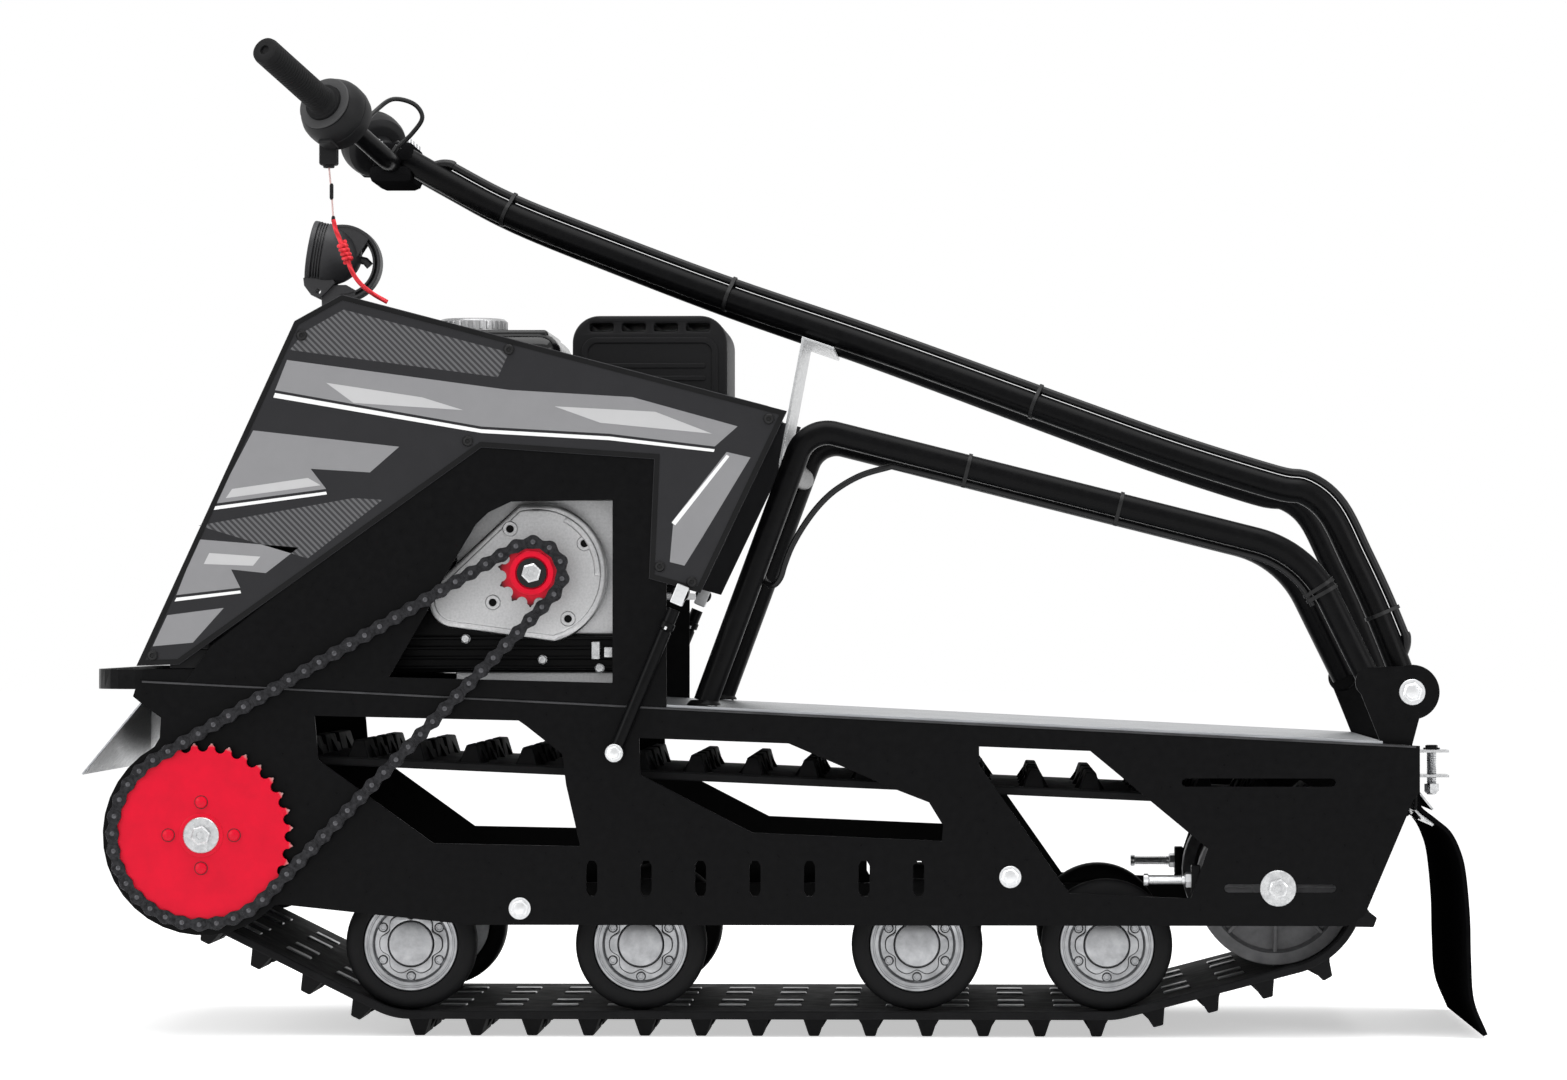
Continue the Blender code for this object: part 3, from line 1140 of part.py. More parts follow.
def make_stem_rest():
    tie_x, tie_z = cross_tube_place()
    base_x = tie_x - TUBE_RADIUS - CLEARANCE - REST_THICKNESS / 2
    under = STEM_RADIUS * STEM_UPRIGHT_SHARE + CLEARANCE * 2 + REST_THICKNESS / 2
    spine = [(base_x, tie_z - REST_DROP), (base_x, tie_z + REST_DROP)]
    spine += [(x, stem_height(x) - under) for x in (REST_FRONT_X, REST_REAR_X)]
    upright("stem_rest", [strip(spine, REST_THICKNESS)], 0, REST_HALF_WIDTH * 2, ZINC_STEEL)


def make_pivot():
    """One bolt on each side, through the bracket and the stem's sleeve."""
    inner = STEM_HALF_GAP - STEM_RADIUS
    outer = LOOP_Y + TUBE_RADIUS + BRACKET_THICKNESS - OVERRUN / 2 + CLEARANCE
    bolt = [
        (0, outer + PIVOT_HEAD_HEIGHT), (PIVOT_HEAD_RADIUS, outer + PIVOT_HEAD_HEIGHT), (PIVOT_HEAD_RADIUS, outer),
        (PIVOT_RADIUS, outer), (PIVOT_RADIUS, inner), (0, inner),
    ]
    for side, axis in (("left", -AXIS_Y), ("right", AXIS_Y)):
        turned(f"pivot_bolt_{side}", bolt, (PIVOT_X, 0, PIVOT_Z), ZINC_STEEL, axis, steps=BOLT_STEPS)


def make_braces():
    (foot_x, foot_z), (top_x, top_z) = on_plate(*BRACE_FOOT_SHARES), on_cowl(*BRACE_TOP_SHARES)
    foot, top = Vector((foot_x, 0, foot_z)), Vector((top_x, 0, top_z))
    reach = (top - foot).length
    collar = reach * BRACE_COLLAR_SHARE
    body = [
        (0, reach), (BRACE_ROD_RADIUS, reach), (BRACE_ROD_RADIUS, collar), (BRACE_RADIUS, collar),
        (BRACE_RADIUS, 0), (0, 0),
    ]
    for side, y in both_sides(BRACE_Y):
        place = Vector((foot.x, y, foot.z))
        name = f"brace_{side}"
        turned(name, body, place, BLACK_PAINT, top - foot, steps=BOLT_STEPS)
        out = BRACE_Y + BRACE_RADIUS
        seat = PLATE_OUTER_Y + CLEARANCE
        eye = [(0, out), (BRACE_EYE_RADIUS, out), (BRACE_EYE_RADIUS, seat), (0, seat)]
        panel = PANEL_OUTER_Y + CLEARANCE
        head = [(0, out), (BRACE_EYE_RADIUS, out), (BRACE_EYE_RADIUS, panel), (0, panel)]
        if side == "left":
            eye = [(r, -h) for r, h in reversed(eye)]
            head = [(r, -h) for r, h in reversed(head)]
        lower = turned(f"{name}_eye", eye, foot, BLACK_PAINT, steps=BOLT_STEPS)
        upper = turned(f"{name}_head", head, top, BLACK_PAINT, steps=BOLT_STEPS)
        join(bpy.data.objects[name], lower, upper)


def make_headlamp():
    """A round lamp held in a strap that rises from the cowl's nose."""
    facing = Vector((-math.cos(LAMP_TILT), 0, math.sin(LAMP_TILT)))
    front = Vector((YOKE_X - LAMP_REACH, 0, YOKE_Z + LAMP_RISE))
    recess = LENS_THICKNESS
    dome = [
        (0, -recess - CLEARANCE), (LAMP_RADIUS - recess, -recess - CLEARANCE), (LAMP_RADIUS - recess, 0),
        (LAMP_RADIUS, 0), (LAMP_RADIUS, -LAMP_RIM),
    ]
    back = LAMP_DEPTH - LAMP_RIM
    dome += [(LAMP_RADIUS * math.cos(a), -LAMP_RIM - back * math.sin(a)) for a in DOME_TURNS]
    lamp = turned("headlamp_housing", dome, front, BLACK_PLASTIC, facing, steps=AXLE_STEPS)
    lens_radius = LAMP_RADIUS - recess - CLEARANCE
    lens = [(0, 0), (lens_radius, 0), (lens_radius, -LENS_THICKNESS), (0, -LENS_THICKNESS)]
    turned("headlamp_lens", lens, front, LAMP_GLASS, facing, steps=AXLE_STEPS)
    cowl = cowl_outline()
    outline = arc((YOKE_X, YOKE_Z), YOKE_RADIUS, math.radians(-95), math.radians(100))
    outline += arc((YOKE_X, YOKE_Z), YOKE_RADIUS - YOKE_THICKNESS, math.radians(100), math.radians(-80))
    outline += arc((YOKE_X, YOKE_Z), YOKE_RADIUS - YOKE_THICKNESS, math.radians(-80), math.radians(-95))[1:]
    yoke = upright("lamp_yoke", [outline], 0, YOKE_WIDTH, BLACK_PLASTIC)
    foot_rear = YOKE_X + YOKE_FOOT_LENGTH / 2
    foot_front = YOKE_X - YOKE_FOOT_LENGTH / 2
    foot_top = YOKE_Z - YOKE_RADIUS + YOKE_THICKNESS / 2
    foot = [
        (foot_front, line_height(cowl, foot_front) + CLEARANCE), (foot_rear, line_height(cowl, foot_rear) + CLEARANCE),
        (foot_rear, foot_top), (foot_front, foot_top),
    ]
    stand = upright("lamp_foot", [foot], 0, YOKE_WIDTH * FOOT_WIDTH_SHARE, BLACK_PLASTIC)
    join(lamp, yoke, stand)


def make_rear():
    front = CROSSMEMBER_X + CROSSMEMBER_THICKNESS / 2 + CLEARANCE
    low_z = HITCH_TOP_Z - HITCH_DROP
    t = HITCH_PLATE
    section = [
        (front, low_z), (HITCH_REAR_X, low_z), (HITCH_REAR_X, low_z + t), (front + t, low_z + t),
        (front + t, HITCH_TOP_Z - t), (HITCH_REAR_X, HITCH_TOP_Z - t), (HITCH_REAR_X, HITCH_TOP_Z), (front, HITCH_TOP_Z),
    ]
    hitch = upright("hitch_bracket", [section], 0, HITCH_WIDTH, ZINC_STEEL)
    bore = turned(
        "hitch_bore",
        [(0, HITCH_TOP_Z + OVERRUN), (HITCH_PIN_RADIUS + CLEARANCE, HITCH_TOP_Z + OVERRUN),
         (HITCH_PIN_RADIUS + CLEARANCE, low_z - OVERRUN), (0, low_z - OVERRUN)],
        (HITCH_PIN_X, 0, 0), ZINC_STEEL, AXIS_Z, steps=BOLT_STEPS,
    )
    cut(hitch, bore)
    head_z = HITCH_TOP_Z + CLEARANCE
    pin = [
        (0, head_z + HITCH_PIN_HEAD_HEIGHT), (HITCH_PIN_HEAD, head_z + HITCH_PIN_HEAD_HEIGHT), (HITCH_PIN_HEAD, head_z),
        (HITCH_PIN_RADIUS - CLEARANCE, head_z), (HITCH_PIN_RADIUS - CLEARANCE, HITCH_PIN_BOTTOM_Z), (0, HITCH_PIN_BOTTOM_Z),
    ]
    turned("hitch_pin", pin, (HITCH_PIN_X, 0, 0), ZINC_STEEL, AXIS_Z, steps=BOLT_STEPS)
    flap_x = front + FLAP_THICKNESS / 2
    spine = [(flap_x + u * FLAP_REACH, FLAP_TOP_Z - v * FLAP_LENGTH) for u, v in FLAP_SHARES]
    upright("flap", [strip(spine, FLAP_THICKNESS)], 0, TRACK_WIDTH, BLACK_RUBBER)


def make_handle():
    """Stem rails with pivot sleeves and a clamp head, then the bar and its grips."""
    left = smooth(stem_points(), STEM_STEPS)
    right = [Vector((p.x, -p.y, p.z)) for p in left]
    stem = tube("stem", left, STEM_RADIUS, BLACK_PAINT)
    other = tube("stem_rail_right", right, STEM_RADIUS, BLACK_PAINT)
    pieces = [other]
    bores = []
    for side, y in both_sides(STEM_HALF_GAP):
        ends = [(PIVOT_X, y - STEM_RADIUS, PIVOT_Z), (PIVOT_X, y + STEM_RADIUS, PIVOT_Z)]
        pieces.append(tube(f"stem_sleeve_{side}", ends, SLEEVE_RADIUS, BLACK_PAINT))
        wide = [(PIVOT_X, y - SLEEVE_RADIUS * 2, PIVOT_Z), (PIVOT_X, y + SLEEVE_RADIUS * 2, PIVOT_Z)]
        bores.append(tube(f"stem_bore_{side}", wide, PIVOT_RADIUS + CLEARANCE * 3, BLACK_PAINT))
    low = (BAR_X - HEAD_LENGTH / 2, -HEAD_HALF_WIDTH, BAR_Z - HEAD_HEIGHT / 2)
    high = (BAR_X + HEAD_LENGTH / 2, HEAD_HALF_WIDTH, BAR_Z + HEAD_HEIGHT / 2)
    pieces.append(box("clamp_head", low, high, BLACK_PAINT))
    clamp = [(BAR_X, -HEAD_HALF_WIDTH - OVERRUN, BAR_Z), (BAR_X, HEAD_HALF_WIDTH + OVERRUN, BAR_Z)]
    bores.append(tube("bar_seat", clamp, BAR_RADIUS + CLEARANCE * 3, BLACK_PAINT))
    join(stem, *pieces)
    cut(stem, *bores)

    knee = Vector((BAR_X, -BAR_KNEE_Y, BAR_Z))
    end = Vector((BAR_X - BAR_SWEEP, -BAR_END_Y, BAR_Z + BAR_LIFT))
    corners = [end, knee, Vector((BAR_X, BAR_KNEE_Y, BAR_Z)), Vector((end.x, -end.y, end.z))]
    tube("handlebar", bent(corners, [BAR_BEND, BAR_BEND]), BAR_RADIUS, BLACK_PAINT)
    for side, mirror in (("left", 1), ("right", -1)):
        tip = Vector((end.x, end.y * mirror, end.z))
        aim = (tip - Vector((knee.x, knee.y * mirror, knee.z))).normalized()
        inner, outer = snug(BAR_RADIUS, BOLT_STEPS), GRIP_RADIUS
        grip = [
            (0, CLEARANCE + GRIP_CAP), (outer, CLEARANCE + GRIP_CAP), (outer, GRIP_FLANGE - GRIP_LENGTH),
            (GRIP_FLANGE_RADIUS, GRIP_FLANGE - GRIP_LENGTH), (GRIP_FLANGE_RADIUS, -GRIP_LENGTH),
            (inner, -GRIP_LENGTH), (inner, CLEARANCE), (0, CLEARANCE),
        ]
        turned(f"grip_{side}", grip, tip, BLACK_RUBBER, aim, steps=BOLT_STEPS)
        start = -GRIP_LENGTH - CLEARANCE
        drum = [
            (inner, start), (HOUSING_FLANGE_RADIUS, start), (HOUSING_RADIUS, start - HOUSING_LENGTH * DRUM_SHARES[0]),
            (HOUSING_RADIUS, start - HOUSING_LENGTH * DRUM_SHARES[1]), (HOUSING_FLANGE_RADIUS, start - HOUSING_LENGTH),
            (inner, start - HOUSING_LENGTH),
        ]
        turned(f"control_housing_{side}", drum, tip, BLACK_PLASTIC, aim, steps=BOLT_STEPS, ring=True)
    half = SWITCH_SIZE / 2
    low = (SWITCH_X - half, LANYARD_Y - half, SWITCH_BOTTOM_Z)
    high = (SWITCH_X + half, LANYARD_Y + half, SWITCH_BOTTOM_Z + SWITCH_SIZE * SWITCH_HEIGHT_SHARE)
    join(bpy.data.objects["control_housing_left"], box("kill_switch", low, high, BLACK_PLASTIC))


def offset_route(points, lift):
    """A route beside a tube, lifted in the side view by a distance."""
    route = []
    for before, here, after in zip([points[0]] + points, points, points[1:] + [points[-1]]):
        run = (Vector(after) - Vector(before)).normalized()
        side = Vector((run.z, 0, -run.x)).normalized()
        route.append(Vector(here) + side * lift)
    return route


def make_cables():
    left = smooth(stem_points(), STEM_STEPS)[STEM_STEPS:-STEM_STEPS]
    lift = STEM_RADIUS + CABLE_RADIUS + CLEARANCE * 2
    tube("stem_cable", offset_route(left, lift), CABLE_RADIUS, BLACK_RUBBER)
    corner = Vector((LOOP_FRONT_X, -LOOP_Y, LOOP_FRONT_Z))
    bow = [corner + Vector((rearward, inward, -down)) * BOW_SIZE for rearward, inward, down in BOW_SHARES]
    bow_share = (bow[0].x - LOOP_FRONT_X) / (LOOP_REAR_X - LOOP_FRONT_X)
    start_z = LOOP_FRONT_Z + (LOOP_REAR_Z - LOOP_FRONT_Z) * bow_share
    corners = [(bow[0].x, start_z), (LOOP_REAR_X, LOOP_REAR_Z), (LOOP_END_X, LOOP_END_Z)]
    rail = bent(corners, [LOOP_REAR_BEND])
    straight = [rail[0].lerp(rail[1], i / CABLE_STEPS) for i in range(1, CABLE_STEPS)]
    rail = [Vector((p.x, -LOOP_Y, p.y)) for p in straight + rail[1:-1]]
    drop = TUBE_RADIUS + FRAME_CABLE_RADIUS + CLEARANCE * 4
    under = offset_route(rail, drop)
    tube("frame_cable", under[::-1] + bow, FRAME_CABLE_RADIUS, BLACK_RUBBER)
    end_x, _ = on_cowl(LANYARD_END_SHARE, 0)
    top = Vector((SWITCH_X, LANYARD_Y, SWITCH_BOTTOM_Z - LANYARD_TOP_GAP))
    way = Vector((end_x, LANYARD_Y, line_height(cowl_outline(), end_x) + LANYARD_END_GAP)) - top
    cord = [top + Vector((way.x * along_share, 0, way.z * down_share)) for along_share, down_share in LANYARD_SHARES]
    tube("lanyard", cord, LANYARD_RADIUS, RED_CORD)


make_side_plates()
make_deck()
make_front()
make_track()
make_axles()
make_suspension()
make_chain_drive()
make_cowl()
make_engine()
make_loop()
make_stem_rest()
make_pivot()
make_braces()
make_headlamp()
make_rear()
make_handle()
make_cables()
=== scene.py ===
# %% [markdown]
# # Dressing a motorized snow tow
# The CAD model gives every piece its size and place. This lesson gives those pieces the
# look of the real machine: powder-coated steel, moulded rubber, a printed cowl, an oiled
# chain. Where a CAD solid is already the right shape it only gets a finish. Where the real
# piece is round, linked or moulded, a finer piece is built in the same room and takes its place.

import math

import bmesh
import bpy
from mathutils import Matrix, Vector


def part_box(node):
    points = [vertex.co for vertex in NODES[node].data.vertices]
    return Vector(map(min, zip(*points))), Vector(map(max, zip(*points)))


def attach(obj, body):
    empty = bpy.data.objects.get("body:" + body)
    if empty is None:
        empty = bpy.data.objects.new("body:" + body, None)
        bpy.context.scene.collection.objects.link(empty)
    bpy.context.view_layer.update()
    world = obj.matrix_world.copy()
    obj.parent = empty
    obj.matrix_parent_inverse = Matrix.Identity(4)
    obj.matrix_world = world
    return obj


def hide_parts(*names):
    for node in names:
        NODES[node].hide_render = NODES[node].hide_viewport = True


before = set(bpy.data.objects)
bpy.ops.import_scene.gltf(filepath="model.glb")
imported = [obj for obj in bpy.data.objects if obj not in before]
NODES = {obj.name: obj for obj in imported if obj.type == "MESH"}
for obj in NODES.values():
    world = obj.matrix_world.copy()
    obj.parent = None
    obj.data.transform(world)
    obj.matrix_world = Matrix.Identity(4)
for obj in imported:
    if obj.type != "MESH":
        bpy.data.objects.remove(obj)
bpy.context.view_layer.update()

# %% [markdown]
# ## The camera
# The photograph was taken square to the left side with a long lens, a little behind the
# middle and below half height. The lens is 139 mm on a 36 mm sensor, 6.6 m from the near side
# plate, without shift.

# %% Place the camera
CAMERA_PLACE = Vector((0.198, -6.88, 0.460))
LOOKED_AT = Vector((0.0, -0.28, 0.544))


def show(thing, place, target):
    """Link a camera or a lamp that stands at a place and looks at a target, both in metres."""
    made = bpy.data.objects.new(thing.name, thing)
    made.location = place
    made.rotation_mode = "QUATERNION"
    made.rotation_quaternion = (Vector(target) - Vector(place)).to_track_quat("-Z", "Y")
    bpy.context.scene.collection.objects.link(made)
    return made


side_lens = bpy.data.cameras.new("side_camera")
side_lens.lens = 139.1
side_lens.sensor_width = 36.0
bpy.context.scene.camera = show(side_lens, CAMERA_PLACE, LOOKED_AT)
print("camera to near side:", round((LOOKED_AT - CAMERA_PLACE).length, 2), "m")

# %% [markdown]
# ## Colour and one node helper
# Colours are written as sRGB hex, as a paint chart gives them, and turned to linear light
# by one function. One more function adds any node with its settings and links, which keeps
# the materials below short enough to read. No real surface has one colour and one gloss, so
# each finish drifts between two colours and two roughnesses, in patches of a real size.

# %% Colour and node helpers
MM = 0.001
SOCKETS = {"metal": "Metallic", "shine": "Specular IOR Level", "ior": "IOR", "clear": "Transmission Weight"}


def linear(hex_text):
    """'#RRGGBB' as a linear RGBA colour."""
    parts = [int(hex_text[i:i + 2], 16) / 255 for i in (1, 3, 5)]
    return (*[c / 12.92 if c <= 0.04045 else ((c + 0.055) / 1.055) ** 2.4 for c in parts], 1.0)


def add(tree, kind, settings=(), links=()):
    """One node: settings name its properties or sockets, links its sockets and what feeds them."""
    made = tree.nodes.new(kind)
    for key, value in dict(settings).items():
        if isinstance(key, int) or key in made.inputs.keys():
            made.inputs[key].default_value = value
        else:
            setattr(made, key, value)
    for key, feed in dict(links).items():
        tree.links.new(feed, made.inputs[key])
    return made


def finish(name, colour, roughness, **sockets):
    """A Principled material with its constant values on the shader's own sockets."""
    made = bpy.data.materials.new(name)
    made.use_nodes = True
    made.diffuse_color = linear(colour)
    shader = made.node_tree.nodes["Principled BSDF"]
    shader.inputs["Base Color"].default_value = linear(colour)
    shader.inputs["Roughness"].default_value = roughness
    for key, value in sockets.items():
        shader.inputs[SOCKETS[key]].default_value = value
    return made


def tint(made, mix, feed):
    """Let a colour mix between sockets 6 and 7, driven by a feed, be a finish's base colour."""
    tree = made.node_tree
    blend = add(tree, "ShaderNodeMix", {"data_type": "RGBA", **mix}, {0: feed})
    tree.links.new(blend.outputs[2], tree.nodes["Principled BSDF"].inputs["Base Color"])
    return blend


def bump(made, feed, distance_mm, strength=1.0):
    """Let a feed raise and lower a finish's surface."""
    tree = made.node_tree
    raised = add(tree, "ShaderNodeBump", {"Strength": strength, "Distance": distance_mm * MM},
                 {"Height": feed})
    tree.links.new(raised.outputs["Normal"], tree.nodes["Principled BSDF"].inputs["Normal"])


def coat(name, colours, patch_mm, spread, gloss, roughness, depth_mm=0.0, stretch=(1, 1, 1), **sockets):
    """A finish that drifts to a second colour and between two roughnesses, in patches of patch_mm.

    spread is how far the colour goes, depth_mm how high the patches stand, and stretch draws
    them out along an axis."""
    made = finish(name, colours[0], roughness, **sockets)
    tree = made.node_tree
    place = add(tree, "ShaderNodeTexCoord")
    sized = add(tree, "ShaderNodeMapping", {"Scale": stretch}, {"Vector": place.outputs["Object"]})
    noise = add(tree, "ShaderNodeTexNoise", {"Scale": 1 / (patch_mm * MM), "Detail": 4.0, "Roughness": 0.6},
                {"Vector": sized.outputs["Vector"]})
    patch = add(tree, "ShaderNodeMapRange", {"From Min": 0.35, "From Max": 0.70, "To Max": spread},
                {"Value": noise.outputs["Fac"]})
    tint(made, {6: linear(colours[0]), 7: linear(colours[1])}, patch.outputs["Result"])
    low, high = gloss
    level = add(tree, "ShaderNodeMapRange",
                {"From Min": 0.30, "From Max": 0.70, "To Min": low, "To Max": high},
                {"Value": noise.outputs["Fac"]})
    tree.links.new(level.outputs["Result"], tree.nodes["Principled BSDF"].inputs["Roughness"])
    if depth_mm:
        bump(made, noise.outputs["Fac"], depth_mm)
    return made


print("white is", linear("#ffffff")[0], "and mid grey is", round(linear("#808080")[0], 3))

# %% [markdown]
# ## Black finishes
# Almost everything here is black, so the blacks have to differ in how they shine. The frame
# is powder-coated steel: powder melts on the hot sheet and leaves a satin skin with a faint
# orange peel. The cowl, tank and covers are moulded ABS with the fine grain of an eroded
# mould. Belts and tyres are vulcanised rubber, dull and a little dusty.

# %% Black finishes
powder_coat = coat("powder_coated_steel", ("#060607", "#0b0b0c"), 9, 0.8, (0.27, 0.38), 0.32, shine=0.07)
powder_tree = powder_coat.node_tree
# Orange peel is about 2 mm from crest to crest and only some microns deep. It is drawn coarser.
peel = add(powder_tree, "ShaderNodeTexNoise", {"Scale": 1 / (3 * MM), "Detail": 1.0},
           {"Vector": add(powder_tree, "ShaderNodeTexCoord").outputs["Object"]})
bump(powder_coat, peel.outputs["Fac"], 0.2, 0.25)

# The mould grain is 0.5 mm on the real part. It is drawn at 1.5 mm so that it still shows.
moulded_abs = coat("moulded_black_abs", ("#0e0e0f", "#161618"), 1.5, 0.7, (0.42, 0.56), 0.46, 0.05,
                   shine=0.16)
gloss_abs = coat("polished_black_abs", ("#080809", "#101012"), 14, 0.6, (0.12, 0.24), 0.16, shine=0.30)
belt_rubber = coat("vulcanised_track_rubber", ("#0e0e0f", "#1d1d1e"), 22, 0.8, (0.62, 0.84), 0.72, 0.3,
                   shine=0.10)
tyre_rubber = coat("moulded_tyre_rubber", ("#0c0c0d", "#161617"), 8, 0.7, (0.56, 0.76), 0.62, 0.1, shine=0.14)
grip_rubber = coat("soft_grip_rubber", ("#0d0d0e", "#161617"), 2, 0.7, (0.6, 0.8), 0.66, 0.1, shine=0.16)
cable_jacket = coat("extruded_pvc_jacket", ("#0a0a0b", "#131315"), 12, 0.8, (0.28, 0.44), 0.32, shine=0.25)
nylon = coat("moulded_nylon_tie", ("#0b0b0c", "#141415"), 4, 0.6, (0.38, 0.52), 0.40, shine=0.25)
print("materials so far, with the CAD's own:", len(bpy.data.materials))

# %% [markdown]
# ## Bare metals
# Rolled aluminium sheet on the deck has draw lines along its length. Die-cast aluminium on the
# engine has a sandy skin. Zinc plate on the bolts is bright and slightly cloudy, the galvanised
# wheels are duller, and the chain is oiled steel. Metals keep the default IOR.

# %% Bare metals
rolled_sheet = coat("rolled_aluminium_sheet", ("#a3a5a8", "#7d7f82"), 3, 0.7, (0.26, 0.46), 0.40, 0.02,
                    stretch=(0.03, 1, 1), metal=1.0)
die_cast = coat("die_cast_aluminium", ("#c0c0c1", "#a9aaab"), 2.5, 0.6, (0.36, 0.5), 0.42, 0.04, metal=1.0)
zinc_plate = coat("zinc_plated_steel", ("#c4c5c6", "#97989a"), 5, 0.7, (0.20, 0.40), 0.28, metal=1.0)
wheel_zinc = coat("galvanised_wheel_steel", ("#a0a1a3", "#7c7d7f"), 16, 0.7, (0.28, 0.46), 0.34, 0.03,
                  metal=1.0)
chain_steel = coat("oiled_chain_steel", ("#343436", "#1b1b1c"), 4, 0.9, (0.26, 0.48), 0.34, 0.05, metal=1.0)
print("metals:", rolled_sheet.name, die_cast.name, zinc_plate.name, chain_steel.name)

# %% [markdown]
# ## Red finishes and the lamp glass
# The sprockets are laser-cut steel with a red powder coat that the chain has rubbed through
# at the teeth. The safety cord is braided polyester. The lamp's window is moulded
# polycarbonate, clear with a high IOR.

# %% Red finishes and the lamp glass
red_coat = coat("red_powder_coat", ("#d60229", "#c30425"), 30, 0.7, (0.28, 0.40), 0.34, shine=0.2)
cord_red = finish("braided_polyester_cord", "#e2202f", 0.72, ior=1.5)
cord_tree = cord_red.node_tree
# One braid stitch is about 2 mm on a 5 mm cord.
stitch = add(cord_tree, "ShaderNodeTexWave",
             {"Scale": 1 / (14 * MM), "Distortion": 1.5, "bands_direction": "DIAGONAL"},
             {"Vector": add(cord_tree, "ShaderNodeTexCoord").outputs["Object"]})
tint(cord_red, {6: linear("#c3121f"), 7: linear("#ef3340")}, stitch.outputs["Fac"])
bump(cord_red, stitch.outputs["Fac"], 0.4, 0.6)
pale_line = coat("coated_steel_line", ("#d9b9b6", "#b99a97"), 3, 0.6, (0.42, 0.6), 0.5, ior=1.5)
lamp_glass = finish("moulded_polycarbonate", "#f4f7fa", 0.06, ior=1.585, clear=0.9)
reflector = coat("vacuum_metallised_reflector", ("#dcdcde", "#b9babd"), 10, 0.5, (0.08, 0.2), 0.14, metal=1.0)
print("red finishes:", red_coat.name, cord_red.name)

# %% [markdown]
# ## Mesh helpers
# Most fine pieces are one of four forms: a flat plate with rounded edges, a round tube along a
# line, a turned piece, or a small block. Plates and tubes come from curves, because a curve's
# bevel rounds the edge at the same time. Turned pieces come from a spun profile. Drawings of
# machines are in millimetres, so every helper takes millimetres and turns them into Blender's
# metres when it writes a point.

# %% Place a finished piece
X, Y, Z = [Vector(axis) for axis in ((1, 0, 0), (0, 1, 0), (0, 0, 1))]
SIDES = (("left", -1), ("right", 1))


def dress(thing, material, stands_for, body):
    """Give a new object its finish and body, and hide the CAD nodes that it stands for."""
    thing.data.materials.append(material)
    bpy.context.scene.collection.objects.link(thing)
    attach(thing, body)
    if stands_for:
        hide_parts(*stands_for)
    return thing


def closed(shape, name):
    """The mesh that a bmesh holds, which is let go."""
    mesh = bpy.data.meshes.new(name)
    shape.to_mesh(mesh)
    shape.free()
    return mesh


def place_piece(name, meshes, material, stands_for=(), body="chassis", smooth_angle=35):
    """Join meshes into one named piece."""
    shape = bmesh.new()
    for mesh in meshes:
        shape.from_mesh(mesh)
    bmesh.ops.remove_doubles(shape, verts=shape.verts, dist=0.001 * MM)
    bmesh.ops.recalc_face_normals(shape, faces=shape.faces)
    thing = bpy.data.objects.new(name, closed(shape, name))
    thing.data.shade_smooth()
    thing.data.set_sharp_from_angle(angle=math.radians(smooth_angle))
    # Large flat faces keep their own normal, so a plate's face doesn't bend light at its rim.
    thing.modifiers.new("face_normals", "WEIGHTED_NORMAL").keep_sharp = True
    return dress(thing, material, stands_for, body)


def stand(place, *axes):
    """The matrix that sets a mesh drawn at the origin on a place, along three axes."""
    return Matrix.Translation(place * MM) @ Matrix(axes).transposed().to_4x4()


print("sides and their signs along Y:", SIDES)

# %% Plates and tubes from curves
def drawn(curve, points, is_closed=False):
    """A curve with one more line through points."""
    line = curve.splines.new("POLY")
    line.points.add(len(points) - 1)
    for point, spot in zip(line.points, points):
        point.co = (*[v * MM for v in spot], 1)
    line.use_cyclic_u = is_closed
    return curve


def curve_mesh(curve):
    """The mesh that a curve draws."""
    holder = bpy.data.objects.new(curve.name, curve)
    bpy.context.scene.collection.objects.link(holder)
    bpy.context.view_layer.update()
    mesh = bpy.data.meshes.new_from_object(holder.evaluated_get(bpy.context.evaluated_depsgraph_get()))
    bpy.data.objects.remove(holder)
    return mesh


def plate(loops, y, thickness, edge=0.6, across=X, up=Z, origin=None):
    """A flat plate with rounded edges. Its loops are drawn along across and up, y is its middle."""
    curve = bpy.data.curves.new("plate", "CURVE")
    curve.dimensions = "2D"
    curve.fill_mode = "BOTH"
    curve.extrude = (thickness / 2 - edge) * MM
    curve.bevel_depth = edge * MM
    curve.bevel_resolution = 1
    curve.offset = -edge * MM
    for loop in loops:
        drawn(curve, [(u, v, 0) for u, v in loop], True)
    mesh = curve_mesh(curve)
    mesh.transform(stand(origin or Vector((0, y, 0)), across, up, across.cross(up)))
    return mesh


def tube_curve(points, radius, sides):
    """A curve with a round section along points."""
    curve = bpy.data.curves.new("tube", "CURVE")
    curve.dimensions = "3D"
    curve.bevel_depth = radius * MM
    curve.bevel_resolution = sides // 2 - 2
    curve.use_fill_caps = True
    return drawn(curve, points)


def tube(points, radius, sides=32):
    """The mesh of a round tube along points."""
    return curve_mesh(tube_curve(points, radius, sides))


print("faces of a short tube:", len(tube([(0, 0, 0), (0, 0, 10)], 5).polygons))

